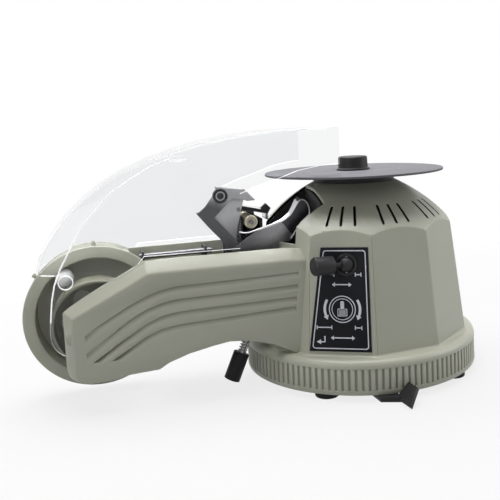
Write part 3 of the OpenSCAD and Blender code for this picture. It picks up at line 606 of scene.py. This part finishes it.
frame_corners = [(-26.4, -42.0), (22.7, -42.0), (21.3, 42.3), (-15.3, 42.3)]
frame_inner = [(-25.5, -41.1), (21.8, -41.1), (20.4, 41.4), (-14.5, 41.4)]
icon_at = (0.4, -8.0)
marks = [
    printed("print_frame", rounded(frame_corners, 2.6), rounded(frame_inner, 1.8)),
    printed("print_ring_out", ring_points(11.6, icon_at), ring_points(10.8, icon_at)),
    printed("print_ring_in", ring_points(9.2, icon_at), ring_points(8.6, icon_at)),
]


def line_mark(name, points, width):
    """A straight or bent line of print."""
    left, right = [], []
    for i, point in enumerate(points):
        here = Vector(point)
        ahead = (Vector(points[min(i + 1, len(points) - 1)]) - Vector(points[max(i - 1, 0)])).normalized()
        side = Vector((-ahead.y, ahead.x)) * width / 2
        left.append(tuple(here + side))
        right.append(tuple(here - side))
    return printed(name, left + right[::-1])


u, v = icon_at


def box_mark(half, low, high, radius):
    """The rounded outline of a box in the icon, by its half width and its two heights."""
    corners = [(u - half, v + low), (u + half, v + low), (u + half, v + high), (u - half, v + high)]
    return rounded(corners, radius, 4)


marks.append(printed("print_knob", box_mark(4.2, -6.0, 0.6, 0.8), box_mark(3.6, -5.4, 0.0, 0.5)))
marks.append(printed("print_stem", box_mark(1.6, 0.6, 7.0, 1.2)))
for row in range(5):
    level = v - 0.9 - 0.95 * row
    marks.append(line_mark(f"print_knurl_{row}", [(u - 2.9, level), (u + 2.9, level)], 0.45))
for side in (-1, 1):
    first, last = (148, 202) if side < 0 else (32, -22)
    arc = ring_points(15.2, icon_at, first, last, 14)
    marks.append(line_mark(f"print_turn_{side + 1}", arc, 2.2))
    tip = Vector(arc[-1])
    onward = (tip - Vector(arc[-2])).normalized()
    across = Vector((-onward.y, onward.x)) * 2.4
    head = [tuple(tip + across), tuple(tip + onward * 3.6), tuple(tip - across)]
    marks.append(printed(f"print_head_{side + 1}", head))
marks.append(line_mark("print_bend", [(-15.2, -31.0), (-15.2, -36.0), (-19.0, -36.0)], 1.2))
marks.append(printed("print_bend_head", [(-18.6, -33.9), (-18.6, -38.1), (-22.4, -36.0)]))


def two_headed(name, at, half, width, head):
    """A measuring arrow with a head at each end."""
    x, y = at
    arrow = [line_mark(f"{name}_line", [(x - half + head, y), (x + half - head, y)], width)]
    for side in (-1, 1):
        neck = x + side * (half - head)
        tip = [(neck, y + head * 0.75), (x + side * half, y), (neck, y - head * 0.75)]
        arrow.append(printed(f"{name}_head_{side + 1}", tip))
    return arrow


marks += two_headed("print_width", (0.4, 13.0), 8.5, 1.0, 2.6)
marks += two_headed("print_length", (0.4, -32.4), 10.5, 1.0, 2.6)
for name, x, y, half in (
    ("wide", -11.8, 21.5, 5.6),
    ("narrow", 14.6, 21.5, 2.4),
    ("long", -15.4, -23.6, 6.4),
    ("short", 14.0, -23.6, 2.8),
):
    marks.append(line_mark(f"print_{name}_bar", [(x - half, y), (x + half, y)], 0.9))
    for side in (-1, 1):
        end = x + side * half
        marks.append(line_mark(f"print_{name}_end_{side + 1}", [(end, y - 1.7), (end, y + 1.7)], 0.8))
finish_piece(join("label_print", marks), print_white, "base")

socket = soften("width_bezel", "socket_ring", 0.0005, black_plastic, steps=2)
# Faces on an arc of the raised rim are given chrome so that a glint shows there: a painted reflection.
socket.data.materials.append(chrome)
socket_at = Vector((0.0046, 0, 0.02998))
glint_arc_from, glint_arc_to = math.radians(-110), math.radians(-12)
for face in socket.data.polygons:
    spot = label_face.inverted() @ face.center - socket_at
    raised = spot.y < -0.0003 and spot.xz.length > 0.0072
    if raised and glint_arc_from < math.atan2(spot.z, spot.x) < glint_arc_to:
        face.material_index = 1
dress(frame["nodes"]["width_pin"], chrome)
lever_black = moulded_black("lever_black", tone=(36, 36, 38), rough=0.34, grain_depth=0.05)
soften("width_lever", "width_handle", 0.0008, lever_black, steps=3, sharp=30)


# Turntable. A flat sheet-metal disc turns on the shaft above a black collar. A black turned knob
# screws it down, and its shaft runs through a brass bush to the big gear inside the dome.
soften("neck_ring", "collar", 0.0006, black_plastic)
disc_finish, disc_shader, disc_place = new_finish("brushed_disc")
disc_far = disc_place.add("ShaderNodeVectorMath", {"operation": "LENGTH"}, {0: disc_place}, 1)
rings = {"W": disc_far, "Scale": 1800.0, "Detail": 3.0}
turned = disc_far.add("ShaderNodeTexNoise", {"noise_dimensions": "1D"}, rings)
disc_haze = disc_place.noise(26.0, 4.0)
disc_bump = turned.bump(0.05, 0.0002)
feed(
    disc_shader,
    Base_Color=disc_haze.mix(paint(84, 84, 88), paint(98, 98, 102)),
    Roughness=0.6 + 0.1 * turned,
    Metallic=0.35,
    Normal=disc_bump,
    Specular_IOR_Level=0.2,
)
soften("turntable_disc", "turntable_plate", 0.0003, disc_finish, steps=2)
soften("turntable_knob", "turntable_button", 0.0006, black_plastic, steps=3)
dress(frame["nodes"]["turntable_shaft"], chrome)


# Drive. Inside the dome a zinc plate on four posts carries the motor and the bush. A brass pinion
# drives the white gear on the shaft, and the transformer and board stand on the bottom sheet.
def cast(name, low, high, rough, metallic=0.0, scale=60.0):
    """A plain cast or moulded material with a clouded colour."""
    material, shader, place = new_finish(name)
    cloud = place.noise(scale, 5.0)
    grain = place.noise(1500.0, 2.0)
    bump = grain.bump(0.15, 0.0003)
    colour = cloud.mix(paint(*low), paint(*high))
    feed(shader, Base_Color=colour, Roughness=rough + 0.12 * cloud, Metallic=metallic, Normal=bump)
    return material


white_plastic = cast("white_plastic", (214, 210, 192), (228, 224, 208), 0.35)
board_green = cast("board_green", (24, 84, 44), (34, 104, 54), 0.45, scale=220.0)
iron = cast("iron", (86, 80, 74), (108, 102, 96), 0.5, 0.6)
red_plastic = cast("red_plastic", (150, 16, 18), (168, 22, 24), 0.22)
cream_rubber = cast("cream_rubber", (212, 206, 182), (228, 222, 200), 0.6)
for node, finish in (
    ("turntable_gear", white_plastic), ("chassis_plate", zinc), ("shaft_bush", brass), ("drive_motor", zinc),
    ("motor_pinion", brass), ("transformer", iron), ("control_board", board_green), ("feed_motor", zinc),
):
    dress(frame["nodes"][node], finish)


# Mains side. At the back are a three-pin inlet for a loose mains lead and a red rocker switch in
# its black frame, both pushed into the dome from outside.
soften("power_inlet", "mains_inlet", 0.0008, black_plastic)
soften("rocker_frame", "switch_frame", 0.0007, black_plastic)
soften("power_rocker", "switch_rocker", 0.0005, red_plastic)


# Arm. A moulded trough that grows out of the dome carries the reel dish. Its front cover is a
# separate shell with broad bevels and four pressed grooves, screwed on from inside.
arm_casing = casing_plastic("arm_casing", tone=(168, 169, 155), deep=(158, 159, 144))
trough = soften("arm_body", "arm_trough", 0.0007, arm_casing, steps=2)
trough_shade = casing_plastic("trough_shade", tone=(112, 112, 105), deep=(98, 98, 92), gloss=0.5)
rim_shade = casing_plastic("rim_shade", tone=(136, 137, 125), deep=(126, 127, 115), gloss=0.5)
trough.data.materials.append(trough_shade)
trough.data.materials.append(rim_shade)
for face in trough.data.polygons:
    if face.normal.y < -0.8 and face.center.y > 0.02 and face.center.x > -0.205:
        face.material_index = 1
    elif face.normal.z > 0.3 and face.center.x < -0.2:
        face.material_index = 2
taper = math.radians(4.1)
cover_out = Vector((-math.sin(taper), -math.cos(taper), 0))
cover_point = Vector((-0.075, -0.060, 0))
groove_depth, groove_slope, groove_dig, groove_zone = 0.0016, 0.00155, 0.0006, 0.003


def sunk(point):
    """How deep a point of the cover lies behind its front face."""
    return (cover_point - point).dot(cover_out)


def on_floor(point):
    """True on the floors of the four grooves."""
    return abs(sunk(point) - groove_depth) < 0.00003


cover = traced("arm_front_cover", "arm_cover")
choose("face", lambda f: on_floor(middle_of(f)) and f.normal.dot(cover_out) > 0.99)
bpy.ops.mesh.quads_convert_to_tris(quad_method="BEAUTY", ngon_method="BEAUTY")
bpy.ops.mesh.tris_convert_to_quads()
choose("vert", lambda v: on_floor(v.co) and any(
    f.normal.z > 0.3 and (f.normal.z < 0.999 or middle_of(f).z > 0.047) for f in v.link_faces))
bpy.ops.transform.translate(value=cover_out * groove_slope)
choose("vert", lambda v: on_floor(v.co))
bpy.ops.transform.translate(value=cover_out * -groove_dig)
bpy.ops.mesh.select_all(action="SELECT")
bpy.ops.mesh.remove_doubles(threshold=0.0001)


def in_grooves(edge):
    """True for the edges of a groove's walls and floor."""
    depths = [sunk(v.co) for v in edge.verts]
    return max(depths) < groove_zone and any(depth > 0.0001 for depth in depths)


def groove_roof(face):
    """True for the wall over a groove, which looks down."""
    across = abs(face.normal.dot(cover_out)) < 0.1
    return face.normal.z < -0.9 and across and sunk(middle_of(face)) < groove_zone


choose("edge", lambda e: e.calc_face_angle(0) > math.radians(14) and e.is_convex
    and max(sunk(v.co) for v in e.verts) > -0.0001 and not in_grooves(e)
    and all(f.normal.dot(cover_out) > -0.2 for f in e.link_faces) and sunk(middle_of(e)) < 0.02
    and not any(groove_roof(f) for f in e.link_faces))
bpy.ops.mesh.bevel(offset=0.0015, segments=4, clamp_overlap=False)
finish_piece(cover, arm_casing, "base", ["arm_front_cover"], 32)
groove_shade = casing_plastic("groove_shade", tone=(92, 93, 83), deep=(80, 81, 72), gloss=0.6)
cover.data.materials.append(groove_shade)
for face in cover.data.polygons:
    spot = face.center
    wall = 0.0001 < sunk(spot) < 0.0021 and abs(face.normal.dot(cover_out)) < 0.2
    if wall and spot.z < 0.108 and spot.x < -0.07:
        face.material_index = 1


# Reel. A deep round dish with a flat rim, a chromed spindle in its middle and on it the plastic
# hub that grips the tape's paper core. A bright domed stud is set in the dish.
soften("reel_dish", "reel_pan", 0.0011, arm_casing, steps=3)
dress(frame["nodes"]["reel_spindle"], chrome)
hub_casing = casing_plastic("hub_casing", tone=(112, 112, 98), deep=(98, 98, 84), gloss=0.34)
soften("core_hub", "tape_hub", 0.0006, hub_casing)
polished_white = casing_plastic("polished_white", tone=(226, 227, 226), deep=(214, 215, 215), gloss=0.1)
soften("dome_stud", "rim_stud", 0.0008, polished_white, steps=3)


# Hood. One sheet of clear plastic folded over the reel and the head and hinged at the dish. Its cut
# edges are sanded and scatter the light; with the folds they also get a painted glow, so they show as white
# lines.
clear_acrylic, clear_shader, clear_place = new_finish("clear_acrylic")
scuff = clear_place.noise(40.0, 4.0)
feed(
    clear_shader,
    Base_Color=(0.915, 0.918, 0.924, 1),
    Roughness=0.01 + 0.02 * scuff,
    IOR=1.001,
    Transmission_Weight=1.0,
    Coat_Weight=0.3,
    Coat_IOR=1.45,
    Coat_Roughness=0.02,
)
# The sanded finish glows a little: painted light, which makes the cut edges, the folds, the pad, the boss and
# the fold beads show white.
frosted_painted_glow, frosted_shader, frosted_place = new_finish("frosted_painted_glow")
frost = frosted_place.noise(800.0, 3.0)
feed(
    frosted_shader,
    Base_Color=frost.mix((0.86, 0.87, 0.88, 1), (0.97, 0.975, 0.98, 1)),
    Roughness=0.5 + 0.2 * frost,
    Emission_Color=white,
    Emission_Strength=0.35,
)
hood_wall = 0.002
hood = soften("clear_hood", "folded_hood", 0.0004, clear_acrylic, steps=2, sharp=20)
hood.data.materials.append(frosted_painted_glow)
form = bmesh.new()
form.from_mesh(hood.data)
widest = {}
solid = BVHTree.FromBMesh(form)
for corners in form.calc_loop_triangles():
    face = corners[0].face
    a, b, c = (corner.vert.co for corner in corners)
    size = (b - a).cross(c - a).length
    if size > widest.get(face.index, 0):
        widest[face.index] = size
        behind = solid.ray_cast((a + b + c) / 3 - face.normal * 0.0001, -face.normal, 0.5)[3] or 1
        longest = max(edge.calc_length() for edge in face.edges)
        width = face.calc_area() / longest
        spot = face.calc_center_median()
        upright_step = abs(face.normal.x) > 0.8 and -0.125 < spot.x < -0.115
        front_notch = spot.x < -0.27 and 0.108 < spot.z < 0.125
        cut = behind > 1.5 * hood_wall and width < 0.0026 and not (upright_step or front_notch)
        fold = longest > 0.004 and width < 0.0005 and 0.25 < -face.normal.y < 0.97
        # Cut edges and the thin faces along the folds take the glowing finish: a painted highlight on them.
        face.material_index = int(cut or fold)
form.to_mesh(hood.data)
form.free()
dress(frame["nodes"]["hood_pivots"], chrome)


def bead(name, points, radius, finish, body):
    """A thin round edge through points given as X, Y and Z."""
    piece = bpy.data.objects.new(name, bpy.data.meshes.new(name))
    piece.data.from_pydata(points, [(i, i + 1) for i in range(len(points) - 1)], [])
    bpy.context.scene.collection.objects.link(piece)
    pick(piece)
    bpy.ops.object.convert(target="CURVE")
    piece = bpy.context.object
    piece.data.bevel_depth = radius
    piece.data.bevel_resolution = 2
    piece.data.use_fill_caps = True
    bpy.ops.object.convert(target="MESH")
    return finish_piece(bpy.context.object, finish, body, smooth=60)


# A finger pad and a round boss are moulded on the near side of the sheet. Both take the glowing finish, a
# painted highlight.
hood_flare, hood_front = 0.054, -0.0345
panel_turn = (math.pi / 2, 0, -hood_flare)
pad_at = (-0.1706, hood_front - 0.1094 * hood_flare - 0.0003, 0.2089)
boss_at = (-0.2681, hood_front - 0.0119 * hood_flare - 0.0005, 0.1126)
hood_pad = start("cylinder", "hood_pad", vertices=48, radius=0.001, depth=0.0007,
    location=pad_at, rotation=panel_turn, scale=(8.4, 2.9, 1))
choose("face", lambda f: f.normal.y < -0.9)
bpy.ops.mesh.inset(thickness=0.0005)
bpy.ops.mesh.inset(thickness=0.0006, depth=-0.0003)
finish_piece(hood_pad, frosted_painted_glow, "hood")

hood_boss = start("cylinder", "hood_boss", vertices=48, radius=0.0061, depth=0.0012,
    location=boss_at, rotation=panel_turn)
choose("face", lambda f: abs(f.normal.y) > 0.9)
bpy.ops.mesh.inset(thickness=0.0007)
bpy.ops.mesh.delete(type="FACE")
choose("edge", lambda e: e.is_boundary)
bpy.ops.mesh.bridge_edge_loops()
finish_piece(hood_boss, frosted_painted_glow, "hood")

# Thin glowing beads along the near crease of the sheet are painted highlights on it.
near_fold = [
    (-282.2, 80), (-280, 98), (-277, 111), (-272, 123), (-265, 136), (-259, 146.5),
    (-253, 157), (-240, 171.5), (-228, 184), (-211, 194.5), (-194, 204), (-178, 209.6),
]
fold_points = [(x / 1000, -0.0346 - (x / 1000 + 0.28) * hood_flare, z / 1000) for x, z in near_fold]
bead("hood_fold_highlight_low", fold_points[:6], 0.0006, frosted_painted_glow, "hood")
bead("hood_fold_highlight_high", fold_points[5:], 0.00025, frosted_painted_glow, "hood")


# Tape path. A plated steel rod leads the tape from the reel to the head. It is held by two bent
# steel brackets that are screwed into the channel of the arm.
dress(frame["nodes"]["guide_rod"], dark_chrome)
dress(frame["nodes"]["rod_brackets"], blued_steel)


# Feed head. Two pressed steel cheeks on a bracket hold the rubber feed roller, the cream pressure
# roller, the toothed cutter on its arm and the sprung presser screw. A curved guide leads the tape
# down into the dome's mouth.
def way(place, slope):
    """How far a place lies along a direction, given as weights of X and Z."""
    vectors = {0: place, 1: (slope[0], 0, slope[1])}
    return place.add("ShaderNodeVectorMath", {"operation": "DOT_PRODUCT"}, vectors, 1)


def ramp(along, first, last):
    """0 up to the first value, 1 from the last and a smooth rise between them."""
    limits = {0: along, 1: first, 2: last, 3: 0.0, 4: 1.0}
    return along.add("ShaderNodeMapRange", {"interpolation_type": "SMOOTHSTEP"}, limits)


def steel_with_painted_shade(name, low, high, slope, first, last, tip=None, grain=260.0):
    """Zinc-plated sheet with painted shade and light: its colour runs from dark to light along a slope, as
    the shading and reflections fall on the plate. A tip is a slope of its own and two limits, past which the
    colour turns dark grey.
    """
    material, shader, place = new_finish(name)
    along = way(place, slope)
    fade = ramp(along, first, last)
    crystals = place.noise(grain, 5.0)
    rolled = place.add("ShaderNodeMapping", inputs={"Vector": place, "Scale": (0.15, 1.0, 1.0)})
    marks = rolled.noise(800.0, 3.0)
    bump = marks.bump(0.1, 0.0002)
    dim_low, dim_high = (tuple(int(c * 0.82) for c in tone) for tone in (low, high))
    colour = crystals.mix(fade.mix(paint(*dim_low), paint(*dim_high)), fade.mix(paint(*low), paint(*high)))
    if tip:
        past = ramp(way(place, tip), tip[2], tip[3])
        colour = past.mix(colour, crystals.mix(paint(52, 52, 56), paint(74, 74, 78)))
    feed(shader, Base_Color=colour, Roughness=0.36 + 0.2 * crystals, Metallic=0.75, Normal=bump)
    return material


# The cheeks, the inner plate and the guide have painted shade: each darkens along its own slope.
cheek_steel = steel_with_painted_shade(
    "cheek_steel", (84, 84, 87), (170, 170, 172), slope=(0.35, 0.94), first=0.103, last=0.116
)
inner_steel = steel_with_painted_shade(
    "inner_steel", (128, 128, 130), (190, 190, 192), slope=(-0.5, 0.87), first=0.176, last=0.205, grain=700.0
)
guide_steel = steel_with_painted_shade(
    "guide_steel", (96, 96, 99), (152, 152, 154), slope=(1.0, 0.3), first=-0.078, last=-0.044,
    tip=(0.79, 0.61, 0.0248, 0.0262),
)
pin_steel = metal("pin_steel", (120, 120, 120), rough=0.3)
soften("head_bracket", "head_mount", 0.0004, cheek_steel)
soften("head_frame", "head_cheeks", 0.0005, cheek_steel, steps=2)
soften("inner_plate", "head_inner", 0.0003, inner_steel)
soften("side_guide", "tape_guide", 0.0004, guide_steel)

# The guide's upper edge is folded back and polished by the tape, and its right edge is bright.
lip_path = [
    (-0.1035, 0.1404), (-0.098, 0.1417), (-0.0897, 0.1436), (-0.0813, 0.1462), (-0.0762, 0.1487),
    (-0.0717, 0.1521), (-0.0685, 0.1566), (-0.0656, 0.1612), (-0.0638, 0.1637), (-0.0616, 0.1652),
]
guide_front = -0.0258
lip = start("plane", "guide_lip", size=0.001, location=(0, 0, 0))
choose("edge", lambda e: all(v.co.x < 0 for v in e.verts))
bpy.ops.mesh.select_all(action="INVERT")
bpy.ops.mesh.delete(type="EDGE")
bpy.ops.mesh.select_all(action="SELECT")
bpy.ops.transform.translate(value=(lip_path[0][0] + 0.0005, guide_front, lip_path[0][1]))
bpy.ops.transform.resize(value=(1, 4, 1), center_override=(0, guide_front, 0))
for here, onward in zip(lip_path, lip_path[1:]):
    move = (onward[0] - here[0], 0, onward[1] - here[1])
    bpy.ops.mesh.extrude_region_move(TRANSFORM_OT_translate={"value": move})
    bpy.ops.transform.resize(value=(1, 1.07, 1), center_override=(0, -0.0278, 0))
bpy.ops.mesh.select_all(action="SELECT")
bpy.ops.mesh.subdivide(number_cuts=2)
form = bmesh.from_edit_mesh(lip.data)
for corner in form.verts:
    rise = max(0, corner.co.y + 0.0262) / 0.0045
    corner.co += Vector((-0.6, 0, 0.8)) * 0.0019 * rise**1.5
bmesh.update_edit_mesh(lip.data)
bpy.ops.object.mode_set(mode="OBJECT")
for kind, settings in (
    ("SUBSURF", {"levels": 1, "render_levels": 1}),
    ("SOLIDIFY", {"thickness": 0.0006, "offset": 0}),
):
    bpy.ops.object.modifier_add(type=kind)
    for key, value in settings.items():
        setattr(lip.modifiers[-1], key, value)
    bpy.ops.object.modifier_apply(modifier=lip.modifiers[-1].name)
bright_steel = metal("bright_steel", (216, 216, 218), rough=0.2, depth=0.02, dulling=0.2)
finish_piece(lip, bright_steel, "base", smooth=60)

ridge_path = [
    (-119.4, -26.6, 140.4), (-116, -27.1, 139.4), (-111, -27.6, 139.2), (-105, -27.7, 140.7),
    (-98, -27.7, 142.4), (-90, -27.7, 144.6), (-81.3, -27.6, 147),
]
edge_path = [
    (-61.6, 165.3), (-58.8, 164.6), (-56.9, 163.1), (-55.3, 160.6), (-54.3, 157.6), (-53.8, 154.2),
    (-54.4, 150.9), (-58.4, 147.8), (-62.6, 144.4), (-67.7, 137.5), (-72.7, 130.6),
]
ridge_points = [(x / 1000, y / 1000, z / 1000) for x, y, z in ridge_path]
edge_points = [(x / 1000, -0.0278, z / 1000) for x, z in edge_path]
bead("guide_ridge", ridge_points, 0.0007, bright_steel, "base")
bead("guide_edge", edge_points, 0.0006, bright_steel, "base")
dress(frame["nodes"]["head_pins"], pin_steel)
soften("feed_roller", "feed_wheel", 0.0003, rubber)
soften("pressure_roller", "press_wheel", 0.0004, cream_rubber)
soften("roller_posts", "black_posts", 0.0003, black_plastic)
lever = soften("cutter_arm", "cutter_lever", 0.0004, black_plastic)
lever.data.materials.append(bright_steel)
for face in lever.data.polygons:
    if face.normal.z > 0.9 and face.center.x > -0.117:
        face.material_index = 1
dress(frame["nodes"]["cutter_blade"], chrome)

# The presser screw has a black head with sunk rings, and its spring shows around it.
bolt_at = Vector((-0.1362, 0, 0.1746))
bolt = traced("presser_screw", "presser_bolt")
choose("face", lambda f: f.normal.y < -0.99 and len(f.verts) > 12 and middle_of(f).y < -0.036)
for inward, sink in (
    (0.0008, 0.0), (0.0002, 0.0016), (0.0012, 0.0), (0.0002, -0.0016),
    (0.0009, 0.0), (0.0002, 0.0016), (0.0010, 0.0), (0.0002, -0.0012),
):
    bpy.ops.mesh.inset(thickness=inward, depth=0)
    bpy.ops.transform.translate(value=(0, sink, 0))
finish_piece(bolt, black_plastic, "base", ["presser_screw"], 32)
bolt.data.materials.append(zinc)
for face in bolt.data.polygons:
    far = (face.center - bolt_at).xz.length
    if face.normal.y < -0.9 and face.center.y < -0.0355 and 0.0022 < far < 0.0044:
        face.material_index = 1


# Presser spring. Round blued wire wound in four turns, with its ends cut square. It sits on the
# presser screw, between the screw's head and the cheek.
def wound(name, place, radius, wire, length, turns, finish, node):
    """A coil spring along its own Z, put in its place by a matrix."""
    pitch = (length - wire * 1.2) / turns
    piece = start("circle", name, vertices=10, radius=wire / 2,
        location=(radius, 0, wire * 0.6), rotation=(math.pi / 2, 0, 0))
    bpy.ops.object.mode_set(mode="OBJECT")
    bpy.ops.object.modifier_add(type="SCREW")
    screw = piece.modifiers[-1]
    screw.axis = "Z"
    screw.angle = math.tau * turns
    screw.screw_offset = pitch * turns
    screw.steps = int(28 * turns)
    screw.render_steps = screw.steps
    screw.use_merge_vertices = False
    bpy.ops.object.modifier_apply(modifier=screw.name)
    bpy.ops.object.mode_set(mode="EDIT")
    choose("edge", lambda e: e.is_boundary)
    bpy.ops.mesh.fill_holes(sides=12)
    bpy.ops.mesh.select_all(action="SELECT")
    bpy.ops.mesh.normals_make_consistent(inside=False)
    bpy.ops.object.mode_set(mode="OBJECT")
    piece.data.transform(place)
    return finish_piece(piece, finish, "base", [node], smooth=60)


presser_place = Matrix.Translation((bolt_at.x, -0.026, bolt_at.z)) @ Matrix.Rotation(math.pi / 2, 4, "X")
wound("presser_coil", presser_place, radius=0.0049, wire=0.0012, length=0.0084, turns=4,
    finish=blued_steel, node="presser_spring")


# Length adjuster. A black fluted knob on a threaded rod under the arm. A spring keeps it from
# turning by itself, and the rod moves a brass stop in its guide.
adjuster_lean, washer = math.radians(23.8), 0.0007
adjuster_place = (
    Matrix.Translation((-0.12315, -0.025, 0.03015))
    @ Matrix.Rotation(adjuster_lean, 4, "Y")
    @ Matrix.Translation((0, 0, washer))
)
spring_steel = metal("spring_steel", (150, 150, 152), rough=0.22)
wound("adjuster_coil", adjuster_place, radius=0.0037, wire=0.001, length=0.0163, turns=6,
    finish=spring_steel, node="length_spring")
soften("length_knob", "fluted_knob", 0.0003, black_plastic)
for node, finish in (
    ("length_bush", black_plastic), ("length_rod", zinc), ("length_stop", brass), ("stop_guide", zinc),
):
    dress(frame["nodes"][node], finish)
